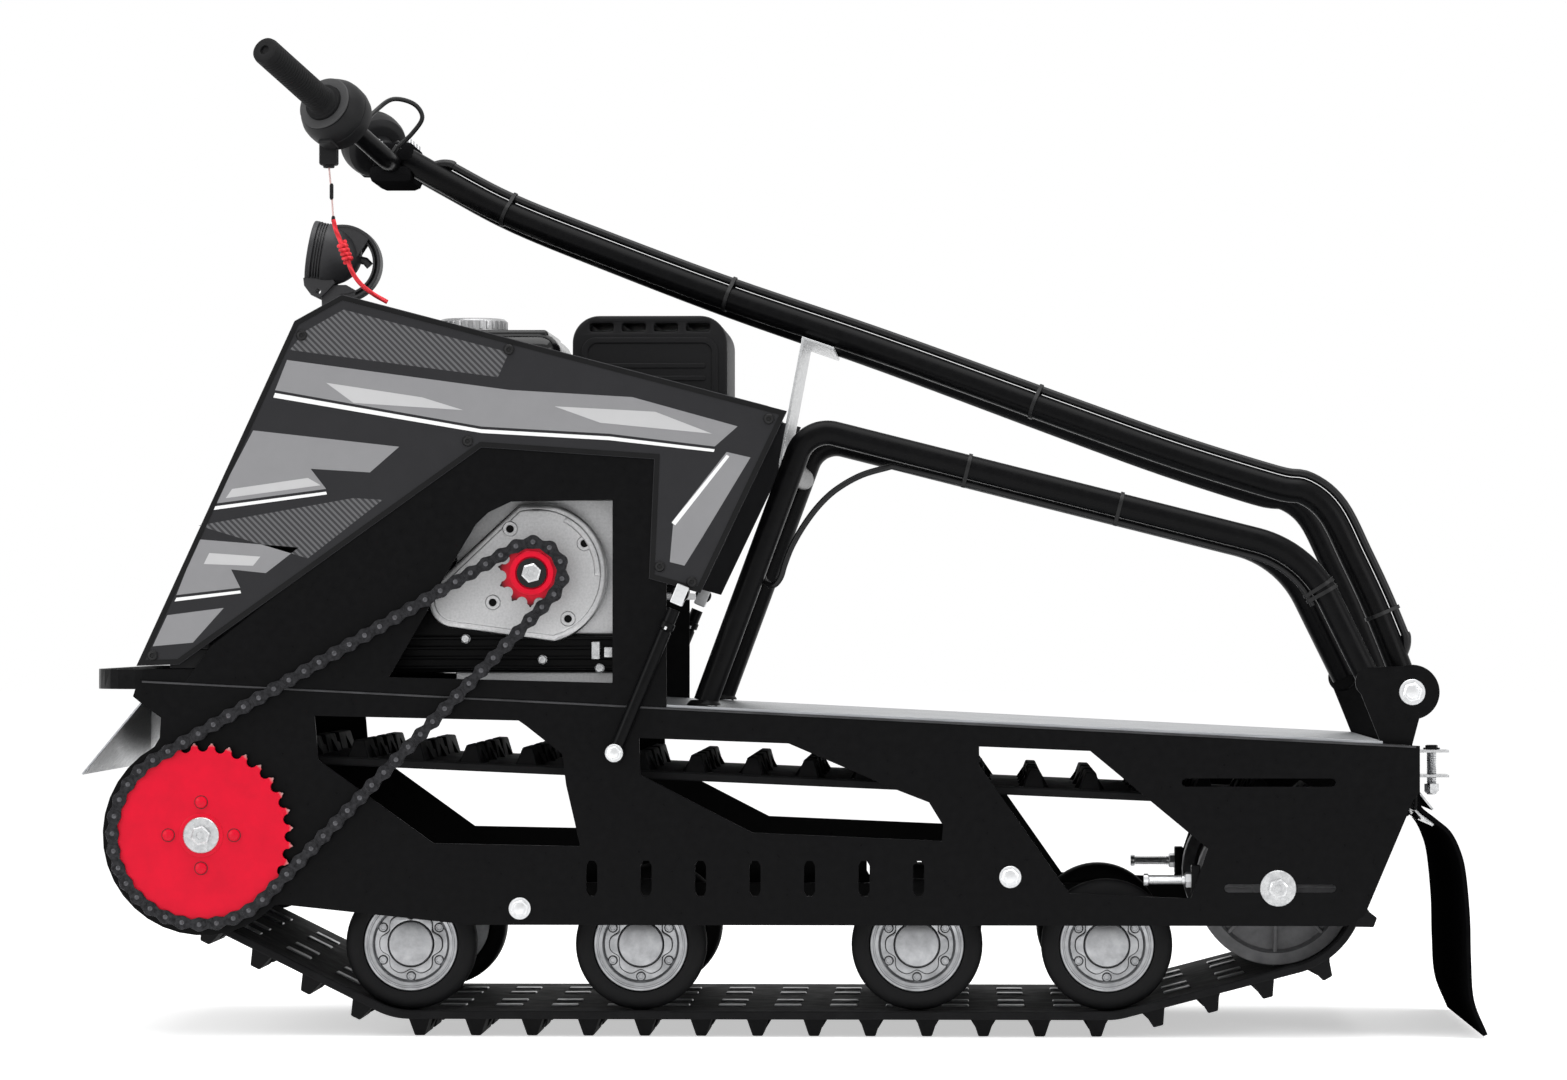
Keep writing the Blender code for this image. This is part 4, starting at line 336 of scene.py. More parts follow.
# %% Turned pieces, blocks and bolts
def turned(profile, centre, axis=Y, steps=48, phase=0.0, capped=False):
    """A profile of (radius, place along the axis) spun about the axis in a number of steps."""
    shape = bmesh.new()
    rings = []
    for radius, height in profile:
        turns = [math.tau * (i + phase) / steps for i in range(steps if radius else 1)]
        rings.append([shape.verts.new((radius * MM * math.cos(t), radius * MM * math.sin(t), height * MM))
                      for t in turns])
    for low, high in zip(rings, rings[1:]):
        for i in range(steps):
            j = i + 1
            corners = (low[i % len(low)], low[j % len(low)], high[j % len(high)], high[i % len(high)])
            if len(set(corners)) > 2:
                shape.faces.new(list(dict.fromkeys(corners)))
    if capped:
        shape.faces.new(rings[0][::-1])
        shape.faces.new(rings[-1])
    turn = Z.rotation_difference(axis.normalized()).to_matrix().to_4x4()
    bmesh.ops.transform(shape, matrix=Matrix.Translation(Vector(centre) * MM) @ turn, verts=shape.verts)
    return closed(shape, "turned")


def rod(radius, low, high):
    """The profile of a plain round bar."""
    return [(0, low), (radius, low), (radius, high), (0, high)]


def collar(inner, outer, low, high):
    """The profile of a collar round a bar."""
    return [(inner, low), (outer, low), (outer, high), (inner, high)]


def block(low, high, edge=0.8, matrix=Matrix.Identity(4), segments=2):
    """A box with rounded edges between two corners, then moved by a matrix."""
    shape = bmesh.new()
    bmesh.ops.create_cube(shape, size=1)
    bmesh.ops.scale(shape, vec=[(b - a) * MM for a, b in zip(low, high)], verts=shape.verts)
    bmesh.ops.translate(shape, vec=[(a + b) / 2 * MM for a, b in zip(low, high)], verts=shape.verts)
    bmesh.ops.bevel(shape, geom=shape.edges, offset=edge * MM, segments=segments, profile=0.5, affect="EDGES")
    bmesh.ops.transform(shape, matrix=matrix, verts=shape.verts)
    return closed(shape, "block")


def hex_bolt(place, axis, across, washer=0.0, head=6.0):
    """A hex head with its chamfer, on a round washer, standing on place along axis."""
    meshes = []
    place = Vector(place)
    if washer:
        rim = [(washer - 0.4, 0), (washer, 0.4), (washer, 1.4), (washer - 0.4, 1.8)]
        meshes.append(turned([(0, 0), *rim, (0, 1.8)], place, axis, 32))
        place = place + axis * 1.8
    corner = across / math.sqrt(3)
    profile = [(corner, 0), (corner, head * 0.8), (across / 2 * 0.94, head), (across / 2 * 0.5, head),
               (across / 2 * 0.45, head * 0.88)]
    return meshes + [turned(profile, place, axis, 6, 0.25, True)]


print("faces of a bare hex head:", len(hex_bolt((0, 0, 0), Z, 10)[0].polygons))

# %% Outlines and lines
def arc(centre, radius, start, end, step=6):
    """Points along an arc, in degrees, both ends included."""
    count = max(1, math.ceil(abs(end - start) / step))
    turns = [math.radians(start + (end - start) * i / count) for i in range(count + 1)]
    return [(centre[0] + radius * math.cos(a), centre[1] + radius * math.sin(a)) for a in turns]


def ring(centre, radius, sides=40):
    """A closed round outline."""
    return arc(centre, radius, 0, 360 * (sides - 1) / sides, 360 / sides * 1.0001)


def smooth_line(points, between):
    """More points on a smooth curve through the given ones."""
    points = [Vector(p) for p in points]
    padded = [points[0] * 2 - points[1]] + points + [points[-1] * 2 - points[-2]]
    path = []
    for a, b, c, d in zip(padded, padded[1:], padded[2:], padded[3:]):
        for i in range(between):
            t = i / between
            path.append((b * 2 + (c - a) * t + (a * 2 - b * 5 + c * 4 - d) * t**2
                         + (b * 3 - a - c * 3 + d) * t**3) / 2)
    return path + [points[-1]]


def metres_along(points):
    """The length of a line of points, in metres."""
    return sum((b - a).length for a, b in zip(points, points[1:])) * MM


print("helpers ready")

# %% [markdown]
# ## The safety cord
# The engine stops when this cord pulls its clip out of the switch. On the real machine a thin
# coated line leaves the switch, is crimped to a red braided cord, and the cord is knotted and
# lies on the cowl. Both are limp, so the line falls straight from the switch and the cord
# bends only where it meets the lamp and the cowl. The route repeats the CAD's own points.

# %% The safety cord
CORD_ROUTE = [(-506, 959.5), (-504.5, 944), (-503, 931), (-502, 915), (-501, 900), (-498, 888), (-493, 876),
              (-488, 864), (-484, 852), (-479, 840), (-470, 828), (-456, 817), (-441, 808.5)]
LINE_SIZE, CORD_SIZE = 2, 5
route = [Vector((x, -200, z)) for x, z in CORD_ROUTE]
line_points, cord_points = smooth_line(route[:5], 5), smooth_line(route[4:], 4)
limp_line = bpy.data.objects.new("safety_line", tube_curve(line_points, LINE_SIZE / 2, 12))
limp_cord = bpy.data.objects.new("safety_cord", tube_curve(cord_points, CORD_SIZE / 2, 12))
dress(limp_line, pale_line, [], "handle")
dress(limp_cord, cord_red, ["lanyard"], "handle")
crimps = []
for spot, half in ((route[2], 9), (route[4], 4)):
    sleeve = [(0, half), (1.4, half), (2.2, half - 2), (2.2, 2 - half), (1.4, -half), (0, -half)]
    crimps.append(turned(sleeve, spot, Z, 24))
safety_crimp = place_piece("safety_crimp", crimps, moulded_abs, body="handle")
# The knot is the cord wound back over itself, four and a half close turns.
KNOT_TURNS, KNOT_LENGTH, KNOT_RADIUS, KNOT_STEPS = 4.5, 22, 4.0, 108
knot_axis = (route[8] - route[6]).normalized()
knot_side = knot_axis.cross(Y)
knot = []
for i in range(KNOT_STEPS + 1):
    share = i / KNOT_STEPS
    turn = math.tau * KNOT_TURNS * share
    knot.append(route[7] + (knot_side * math.cos(turn) + Y * math.sin(turn)) * KNOT_RADIUS
                + knot_axis * KNOT_LENGTH * (share - 0.5))
safety_knot = place_piece("safety_knot", [tube(knot, 2.3, 10)], cord_red, body="handle",
                          smooth_angle=60)
for limp, points, diameter, end, extra in ((limp_line, line_points, LINE_SIZE, "fitting", safety_crimp),
                                           (limp_cord, cord_points, CORD_SIZE, "knot", safety_knot)):
    start = Vector([v * MM for v in points[0]])
    print(limp.name, round(metres_along(points), 4), "m")
# %% [markdown]
# ## Places that the frame gives
# Nothing below is placed by eye where a CAD node gives the place. Axle centres and wheel sizes
# are read from the boxes of the CAD nodes, so a piece stays right when the CAD changes.

# %% Axle centres and radii
def box(node):
    """The two corners of a CAD node's box, in millimetres."""
    return [Vector(corner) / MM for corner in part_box(node)]


def middle(node):
    """The centre of a CAD node's box."""
    low, high = box(node)
    return (low + high) / 2


def wheel_radius(node):
    """Half a CAD node's size along X."""
    low, high = box(node)
    return (high.x - low.x) / 2


HUBS = [middle(node) for node in ("drive_axle", "rear_axle", "output_shaft")]
DRIVE, REAR, SHAFT = [Vector((hub.x, 0, hub.z)) for hub in HUBS]
ROAD = [middle(f"tyre_{i}_left") for i in range(1, 5)]
ROAD_RADIUS, IDLER_RADIUS, DRIVE_RADIUS = map(wheel_radius, ("tyre_1_left", "rear_axle", "drive_axle"))
PLATE_Y = -box("side_plate_left")[0].y
print("radii in mm:", [round(r, 1) for r in (ROAD_RADIUS, IDLER_RADIUS, DRIVE_RADIUS)])

# %% [markdown]
# ## The track
# A snow track is a flat belt of rubber and fabric with a paddle moulded on at each pitch, and
# the sprocket drives it through windows edged with steel clips. An array along a curve would
# bend the paddles, so the belt is wrapped round the wheels as a path and each rigid paddle is
# set on it by its own matrix. Rows of three and four pads alternate, as on real tracks.

# %% Wrap the belt
BELT = 9
LUG_PITCH = 62
LUG_PHASE = 0.69
BELT_HALF = box("track")[1].y


def belt_wheel(hub, radius):
    """A hub with the belt's inner radius: 0.3 mm clear, at the corners of ten-degree steps."""
    return hub.x, hub.z, (radius + 0.3) / math.cos(math.radians(5))


def belt_path(wheels, step=math.radians(3)):
    """A belt drawn tight round wheels (x, z, radius) as (point, outward normal)."""
    turns = []
    for a, b in zip(wheels, wheels[1:] + wheels[:1]):
        run = Vector((b[0] - a[0], b[1] - a[1]))
        turns.append(math.atan2(run.y, run.x) - math.pi / 2 + math.asin((a[2] - b[2]) / run.length))
    path = []
    for i, wheel in enumerate(wheels):
        sweep = (turns[i] - turns[i - 1]) % math.tau
        count = max(1, math.ceil(sweep / step))
        for j in range(count + 1):
            turn = turns[i - 1] + sweep * j / count
            normal = Vector((math.cos(turn), math.sin(turn)))
            path.append((Vector(wheel[:2]) + normal * wheel[2], normal))
    return path


inner_path = belt_path([belt_wheel(ROAD[0], ROAD_RADIUS), belt_wheel(ROAD[3], ROAD_RADIUS),
                        belt_wheel(REAR, IDLER_RADIUS), belt_wheel(DRIVE, DRIVE_RADIUS)])
inner_length = sum((b[0] - a[0]).length for a, b in zip(inner_path, inner_path[1:] + inner_path[:1]))
LUG_HEIGHT = ROAD[0].z - belt_wheel(ROAD[0], ROAD_RADIUS)[2] - BELT
LUG_COUNT = round(inner_length / LUG_PITCH)
EDGE = 1.5
half_section = [(BELT_HALF - EDGE, 0), (BELT_HALF, EDGE), (BELT_HALF, BELT - EDGE), (BELT_HALF - EDGE, BELT)]
section = half_section + [(-y, h) for y, h in half_section[::-1]]
belt = bmesh.new()
rings = [[belt.verts.new(Vector((p.x + n.x * h, y, p.y + n.y * h)) * MM) for y, h in section]
         for p, n in inner_path]
for a, b in zip(rings, rings[1:] + rings[:1]):
    for i in range(-1, len(section) - 1):
        belt.faces.new((a[i], a[i + 1], b[i + 1], b[i]))
print("belt length:", round(inner_length), "mm, paddles:", LUG_COUNT, "high:", round(LUG_HEIGHT, 1), "mm")


# %% Mould the paddles and clips
def moulded(pads):
    """Pads as (centre, half width, low, high, length at the foot, length at the tip, lean of the ends)."""
    shape = bmesh.new()
    for centre, half, low, high, foot, tip, lean in pads:
        made = bmesh.ops.create_cube(shape, size=2)["verts"]
        for corner in made:
            top = corner.co.z > 0
            corner.co = Vector(((tip if top else foot) / 2 * corner.co.x,
                                centre + (half - lean * top) * corner.co.y, high if top else low)) * MM
        edges = {e for v in made for f in v.link_faces for e in f.edges}
        bmesh.ops.bevel(shape, geom=list(edges), offset=1.0 * MM, segments=1, affect="EDGES")
    return closed(shape, "moulded")


def paddle(pads):
    """One row: a low bar over the whole width with full-height pads and a short rib on each."""
    foot, top = BELT - 1, BELT + LUG_HEIGHT
    rows = [(0, BELT_HALF - 14, foot, BELT + 0.45 * LUG_HEIGHT, 22, 15, 6)]
    for centre, half in pads:
        rows += [(centre, half, foot, top, 24, 11, 9), (centre, 6, foot, top - 5, 34, 15, 2)]
    return moulded(rows)


three_pads = paddle([(-163, 75), (0, 62), (163, 75)])
four_pads = paddle([(-180, 58), (-60, 45), (60, 45), (180, 58)])
clip = moulded([(y, 11, -1.6, 0.6, 30, 30, 0) for y in (-152, -68, 68, 152)])


def on_belt(mesh, distance):
    """A copy of a mesh set on the belt at a distance along it."""
    distance %= inner_length
    for (a, n), (b, m) in zip(inner_path, inner_path[1:] + inner_path[:1]):
        step = (b - a).length
        if 0 < step and distance <= step:
            break
        distance -= step
    spot, normal = a.lerp(b, distance / step), n.lerp(m, distance / step).normalized()
    copy = mesh.copy()
    copy.transform(stand(Vector((spot.x, 0, spot.y)), Vector((-normal.y, 0, normal.x)), Y,
                         Vector((normal.x, 0, normal.y))))
    return copy


paddles, clips = [], []
for i in range(LUG_COUNT):
    distance = inner_length * (i + LUG_PHASE) / LUG_COUNT
    paddles.append(on_belt(three_pads if i % 2 else four_pads, distance))
    clips.append(on_belt(clip, distance + LUG_PITCH / 2))
track = place_piece("track_belt", [closed(belt, "belt"), *paddles], belt_rubber, ["track"],
                    smooth_angle=30)
place_piece("track_clips", clips, wheel_zinc)
print("track faces:", len(track.data.polygons))

# %% [markdown]
# ## Road wheels
# Each road wheel is a pressed steel rim with a rolled lip, a scalloped hub flange with rivets
# between its lobes, a domed bearing cap, and a solid rubber tyre. Rim, cap and tyre are turned
# shapes, so a spun profile gives every radius at once. The flange is a plate with six lobes. A dark
# plate just wider than it, under it, and a dark ring under each rivet are painted shade round them.

# %% Turn the tyres and rims
tyre_half_profile = [(52, 15.5), (53, 18.6), (55.5, 20), (61, 19.8), (65.5, 18.6), (69.3, 16.2), (71.2, 13),
                     (71.9, 9.6), (72, 6.4), (71.2, 6), (71.2, 4.8), (72, 4.4)]
tyre_profile = tyre_half_profile + [(r, -h) for r, h in tyre_half_profile[::-1]] + tyre_half_profile[:1]
rim_profile = [(0, -17), (51.7, -17), (51.7, 16.6), (50.8, 17.4), (48.6, 17.4), (47.8, 16.6), (46.8, 16.6),
               (46.0, 17.2), (42.6, 16.6), (40.6, 14.6), (39.6, 11.6), (26.6, 11.6), (26.0, 9.0), (24.9, 9.0),
               (24.6, 17.0), (23.4, 18.6), (17.0, 19.8), (9.0, 20.4), (0, 20.6)]
rivet_profile = [(4.6, -1), (4.6, 1.6), (3.8, 2.4), (2.8, 2.4), (2.4, 1.4), (0, 1.4)]
LOBES, LOBE_POINTS = 6, 120


def lobed(centre, grow):
    """The hub flange's outline with its lobes, grown by a distance, with a round hole for the cap."""
    outline = []
    for i in range(LOBE_POINTS):
        turn = math.tau * i / LOBE_POINTS
        reach = 31.6 + 3.4 * math.cos(LOBES * turn) - 0.8 * math.cos(2 * LOBES * turn) + grow
        outline.append((centre.x + reach * math.cos(turn), centre.z + reach * math.sin(turn)))
    return [outline, ring((centre.x, centre.z), 25.6 - grow)]


def around(centre, radius, count, start=0.0):
    """Places on a circle round a centre, in the side view."""
    turns = [math.tau * (i + start) / count for i in range(count)]
    return [centre + Vector((radius * math.cos(t), 0, radius * math.sin(t))) for t in turns]


wheel_shade_rings = []
for number, hub in enumerate(ROAD, 1):
    metal = [turned(rod(8, -215, 215), (hub.x, 0, hub.z), Y, 32)]
    for side, sign in SIDES:
        centre = Vector((hub.x, sign * abs(hub.y), hub.z))
        outward = Y * sign
        place_piece(f"road_tyre_{number}_{side}", [turned(tyre_profile, centre, outward, 72)], tyre_rubber,
                    [f"tyre_{number}_{side}"], smooth_angle=40)
        metal += [turned(rim_profile, centre, outward, 64),
                  plate(lobed(centre, 0), centre.y + sign * 13.8, 4.8, 1)]
        # A dark plate a little wider than the flange, under it, is painted shade round the flange's edge.
        wheel_shade_rings.append(plate(lobed(centre, 1), centre.y + sign * 11.9, 0.9, 0.2))
        for rivet in around(centre + outward * 11.6, 35.6, LOBES, 0.5):
            metal.append(turned(rivet_profile, rivet, outward, 20))
            # A dark ring under each rivet is painted shade round it.
            wheel_shade_rings.append(turned([(5.4, -0.4), (5.4, 0.5), (0, 0.5)], rivet, outward, 20))
    place_piece(f"road_wheel_rims_{number}", metal, wheel_zinc, [f"road_axle_{number}"])
# Dark grey for the painted shade round the flanges and rivets.
painted_shade_coat = coat("painted_shade_grey", ("#232324", "#343435"), 5, 0.7, (0.5, 0.7), 0.6, shine=0.3)
place_piece("wheel_painted_shade", wheel_shade_rings, painted_shade_coat)
print("road wheels:", len(ROAD), "pairs")

# %% [markdown]
# ## Drive and rear axles
# The drive wheels are moulded with nine cogs that push the belt through its windows. The rear
# idlers are grey spoked discs on the tension bolts, which slide in the side plates' slots.

# %% Build the two main axles
OUTER = PLATE_Y + 0.3
NUT_ACROSS, WASHER = 19, 19.6
DRIVE_WHEEL_Y, IDLER_Y = 110, 200
sprocket_low, sprocket_high = box("driven_sprocket")
SPROCKET_FACE = -sprocket_low.y + 0.3
COGS, SPOKES = 9, 8
# One cog is four corners, each a share of the turn to the next cog and a depth below the tip.
COG_CORNERS = ((0.0, 9), (0.32, 9), (0.42, 0), (0.90, 0))
cogs = [(DRIVE.x + (DRIVE_RADIUS - cut) * math.cos(math.tau * (i + share) / COGS),
         DRIVE.z + (DRIVE_RADIUS - cut) * math.sin(math.tau * (i + share) / COGS))
        for i in range(COGS) for share, cut in COG_CORNERS]
washer = [(0, 0), (WASHER, 0), (WASHER, 2.2), (WASHER - 0.8, 3), (0, 3)]
drive_metal = [turned(rod(12.5, -SPROCKET_FACE, OUTER), DRIVE),
               turned(collar(12, 20, -PLATE_Y - 0.4, sprocket_low.y + 5.5), DRIVE),
               turned(washer, DRIVE - Y * SPROCKET_FACE, -Y)]
drive_metal += hex_bolt(DRIVE - Y * (SPROCKET_FACE + 3), -Y, NUT_ACROSS, 0, 7)
drive_metal += hex_bolt(DRIVE + Y * OUTER, Y, NUT_ACROSS, WASHER, 5)
place_piece("drive_shaft", drive_metal, zinc_plate, ["drive_axle"])

idler_grey = coat("grey_moulded_nylon", ("#626264", "#484849"), 18, 0.8, (0.42, 0.6), 0.5, shine=0.3)
idler_half_profile = [(12.4, -18), (24, -18), (26, -12), (70, -9), (74, -18), (86.2, -18), (87, -17)]
idler_profile = idler_half_profile + [(r, -h) for r, h in idler_half_profile[::-1]] + idler_half_profile[:1]
drive_wheels, rear_metal, idlers = [], [turned(rod(12, -276, 276), REAR)], []
for side, sign in SIDES:
    out = Y * sign
    drive_wheels += [plate([cogs], sign * DRIVE_WHEEL_Y, 30, 2),
                     turned(collar(12.6, 30, -30, 30), DRIVE + out * DRIVE_WHEEL_Y)]
    rear_metal += [turned(rod(4, 270, OUTER), REAR, out, 24),
                   *hex_bolt(REAR + out * OUTER, out, NUT_ACROSS, WASHER, 6.5)]
    idlers.append(turned(idler_profile, REAR + out * IDLER_Y, Y, 72))
    for i in range(SPOKES):
        turn = Matrix.Rotation(math.tau * i / SPOKES, 4, "Y")
        spoke = Matrix.Translation((REAR + out * IDLER_Y) * MM) @ turn
        idlers.append(block((23, -15, -2), (73, 15, 2), 1, spoke))
place_piece("drive_wheels", drive_wheels, moulded_abs)
place_piece("rear_shaft", rear_metal, zinc_plate, ["rear_axle"])
place_piece("rear_idlers", idlers, idler_grey)
print("axles at x:", round(DRIVE.x), "and", round(REAR.x), "mm")

# %% [markdown]
# ## Sprockets and roller chain
# The sprockets are laser cut, powder coated red and rubbed bare where the chain runs. The
# chain is a real one: pairs of inner plates on bushings, pairs of outer plates on pins, at a
# 19.05 mm pitch, with a roller in each tooth gap. Pins are laid out first, seated on both
# sprockets and evenly along the two runs, and a link is then set between each two pins.

# %% Lay out the pins
PITCH, ROLLER = 19.05, 5.8
TEETH = {"driven": 32, "engine": 11}
CENTRES = {"driven": Vector((DRIVE.x, DRIVE.z)), "engine": Vector((SHAFT.x, SHAFT.z))}
PITCH_RADIUS = {which: PITCH / 2 / math.sin(math.pi / teeth) for which, teeth in TEETH.items()}
CHAIN_Y = middle("driven_sprocket").y
SPROCKET = sprocket_high.y - sprocket_low.y


def pointing(turn):
    """The direction of a turn in the side view."""
    return Vector((math.cos(turn), math.sin(turn)))


def seated(which, start, end):
    """The turn of the first tooth gap between two turns, and the pins in all gaps there."""
    step = math.tau / TEETH[which]
    count = int((end - start) / step)
    first = (start + end - step * count) / 2
    turns = [first + step * i for i in range(count + 1)]
    return first, [CENTRES[which] + pointing(turn) * PITCH_RADIUS[which] for turn in turns]


def between(start, end):
    """The pins of a straight run."""
    count = round((end - start).length / PITCH)
    return [start.lerp(end, i / count) for i in range(1, count)]


across_centres = CENTRES["engine"] - CENTRES["driven"]
heading = math.atan2(across_centres.y, across_centres.x)
lean = math.acos((PITCH_RADIUS["driven"] - PITCH_RADIUS["engine"]) / across_centres.length)
phase_driven, on_driven = seated("driven", heading + lean, heading - lean + math.tau)
phase_engine, on_engine = seated("engine", heading - lean, heading + lean)
pins = on_driven + between(on_driven[-1], on_engine[0]) + on_engine + between(on_engine[-1], on_driven[0])
print("pins:", len(pins), "spacing in mm:", round((pins[-1] - pins[0]).length, 2))

# %% Build the chain
# Each kind of link is (half its height at a pin, half its waist, distance from the chain's middle).
OUTER_LINK, INNER_LINK = (7.5, 4.6, 5.5), (7.75, 5.2, 4.4)
pin_profile = [(0, -6.6), (2, -6.6), (2.6, -6.2), (2.6, 6.2), (2, 6.6), (0, 6.6)]
links, link_pins = [], []
for i, (a, b) in enumerate(zip(pins, pins[1:] + pins[:1])):
    run = (b - a).normalized()
    length = (b - a).length
    half, waist, aside = INNER_LINK if i % 2 else OUTER_LINK
    outline = arc((length, 0), half, -118, 118, 14) + [(length / 2, waist)]
    outline += arc((0, 0), half, 62, 298, 14) + [(length / 2, -waist)]
    pin = Vector((a.x, CHAIN_Y, a.y))
    for sign in (-1, 1):
        links.append(plate([outline], 0, 1.0, 0.25, Vector((run.x, 0, run.y)), Vector((-run.y, 0, run.x)),
                           pin + Y * sign * aside))
    links.append(turned(rod(ROLLER, -3.9, 3.9), pin, Y, 20))
    link_pins.append(turned(pin_profile, pin, Y, 14))
chain = place_piece("roller_chain", links, chain_steel, ["drive_chain"], smooth_angle=40)
pin_steel = coat("riveted_pin_steel", ("#57575a", "#38383a"), 3, 0.8, (0.3, 0.5), 0.38, metal=1.0)
place_piece("chain_pins", link_pins, pin_steel)
print("chain faces:", len(chain.data.polygons))


# %% Cut the sprockets
def sprocket(which, phase, bore):
    """A toothed disc: round gaps for the rollers, straight flanks and rounded tips."""
    centre, step, tip = CENTRES[which], math.tau / TEETH[which], PITCH_RADIUS[which] + 3.7
    outline = []
    for i in range(TEETH[which]):
        turn = phase + step * i
        gap = centre + pointing(turn) * PITCH_RADIUS[which]
        # A hair over 22 degrees gives every gap the same nine points.
        outline += arc(gap, ROLLER + 0.25, math.degrees(turn) + 268, math.degrees(turn) + 92, 22.01)
        for share, cut in ((0.42, 1.9), (0.46, 0.4), (0.5, 0.0), (0.54, 0.4), (0.58, 1.9)):
            outline.append(tuple(centre + pointing(turn + step * share) * (tip - cut)))
    return plate([outline, ring(centre, bore)], CHAIN_Y, SPROCKET, 0.6)


def worn_coat(which, start, end, worn):
    """Red powder coat that wears to another colour between two distances from the pitch circle."""
    made = red_coat.copy()
    made.name = "worn_red_coat_" + which
    tree = made.node_tree
    shader = tree.nodes["Principled BSDF"]
    centre = CENTRES[which] * MM
    start, end = (PITCH_RADIUS[which] + start) * MM, (PITCH_RADIUS[which] + end) * MM
    place = add(tree, "ShaderNodeTexCoord")
    offset = add(tree, "ShaderNodeVectorMath", {"operation": "SUBTRACT", 1: (centre.x, 0, centre.y)},
                 {0: place.outputs["Object"]})
    flat = add(tree, "ShaderNodeVectorMath", {"operation": "MULTIPLY", 1: (1, 0, 1)},
               {0: offset.outputs["Vector"]})
    reach = add(tree, "ShaderNodeVectorMath", {"operation": "LENGTH"}, {0: flat.outputs["Vector"]})
    scuff = add(tree, "ShaderNodeTexNoise", {"Scale": 1 / (6 * MM), "Detail": 3.0},
                {"Vector": place.outputs["Object"]})
    ragged = add(tree, "ShaderNodeMath", {"operation": "MULTIPLY_ADD", 1: 5 * MM, 2: -2.5 * MM},
                 {0: scuff.outputs["Fac"]})
    rubbed = add(tree, "ShaderNodeMath", {"operation": "ADD"},
                 {0: reach.outputs["Value"], 1: ragged.outputs[0]})
    wear = add(tree, "ShaderNodeMapRange", {"From Min": start, "From Max": end}, {"Value": rubbed.outputs[0]})
    red = shader.inputs["Base Color"].links[0].from_socket
    blend = tint(made, {7: linear(worn)}, wear.outputs["Result"])
    tree.links.new(red, blend.inputs[6])
    tree.links.new(wear.outputs["Result"], shader.inputs["Metallic"])
    return made


driven_coat = worn_coat("driven", -1, 4, "#a09a98")
engine_coat = worn_coat("engine", -12, 2, "#2a2223")
DRIVEN_FACE = DRIVE + Y * (CHAIN_Y - SPROCKET / 2)
ENGINE_FACE = SHAFT + Y * (CHAIN_Y - SPROCKET / 2)
boss = [(12.7, 0), (24, 0), (24, 0.9), (23, 1.5), (12.7, 1.5)]
rivet_profile = [(6.6, -0.4), (6.6, 1.6), (5.6, 3.2), (3.0, 4.2), (0, 4.4)]
rivets = around(DRIVEN_FACE, 36, 4)
driven = [sprocket("driven", phase_driven, 12.7), turned(boss, DRIVEN_FACE, -Y)]
driven += [turned(rivet_profile, rivet, -Y, 24) for rivet in rivets]
place_piece("driven_sprocket_disc", driven, driven_coat, ["driven_sprocket"])
boss = [(17, 0), (24.5, 0), (24.5, 1.2), (23.5, 2), (18, 2), (17, 0)]
small = [sprocket("engine", phase_engine, 10.2), turned(boss, ENGINE_FACE, -Y)]
place_piece("engine_sprocket_disc", small, engine_coat, ["engine_sprocket"])
# A dark ring under each rivet of the driven sprocket is painted shade round it.
rivet_shade = [turned([(7.4, -0.2), (7.4, 0.3), (0, 0.3)], rivet, -Y, 24) for rivet in rivets]
place_piece("rivet_painted_shade", rivet_shade, painted_shade_coat)
print("pitch radii in mm:", [round(radius, 1) for radius in PITCH_RADIUS.values()])

# %% [markdown]
# ## Engine cover, shaft, starter and block fittings
# The silver side cover is pressure die cast: a smooth raised face, an arched rib, and round
# bosses for its screws. Castings have draft and soft edges, so the plate gets a wide bevel.

# %% Cast the side cover
cover_low, cover_high = box("engine_cover")
COVER_FACE = -cover_low.y
BIG_END, SMALL_END = 78, 30
BOSSES = [(-303, 557), (-221, 541), (-322, 476), (-239, 458)]
CRANK = CENTRES["engine"]


def cover_outline(cut):
    """The cover's outline, two round ends, cut back by a distance."""
    return (arc(CRANK, BIG_END - cut, -75, 105, 4)
            + arc((cover_low.x + SMALL_END, 478), SMALL_END - cut, 120, 260, 8))


on_bosses = [Vector((x, -COVER_FACE, z)) for x, z in BOSSES]
rib = arc(CRANK, 71, -2, 62, 4) + arc(CRANK, 64, 62, -2, 4)
shaft_seat = [(17.5, 0), (25, 0), (24, 3.5), (18.5, 3.5), (17.5, 0)]
screw_boss = [(8.4, 0), (8.4, 3), (7.6, 4), (4.4, 4), (4, 1.2), (0, 1.2)]
cover_shape = [cover_outline(0), ring(CRANK, 10.5)]
cover = [plate(cover_shape, middle("engine_cover").y, cover_high.y - cover_low.y, 4),
         plate([cover_outline(7), ring(CRANK, 27)], -COVER_FACE, 3, 1.4),
         plate([rib], -COVER_FACE - 2, 5, 1.5), turned(shaft_seat, SHAFT - Y * COVER_FACE, -Y)]
cover += [turned(screw_boss, spot, -Y, 32) for spot in on_bosses]
place_piece("cast_side_cover", cover, die_cast, ["engine_cover"])
holes = [turned(rod(4.1, 1.3, 1.8), spot, -Y, 20) for spot in on_bosses]
place_piece("cover_screw_holes", holes, powder_coat)
print("screw bosses on the cover:", len(BOSSES))

# %% [markdown]
# ### Oil sump
# Under the cover lies the black oil sump, a ribbed casting that cools the oil, held on the deck
# by small zinc-plated screws. Ribs are cast along the sump so that they come out of the mould.

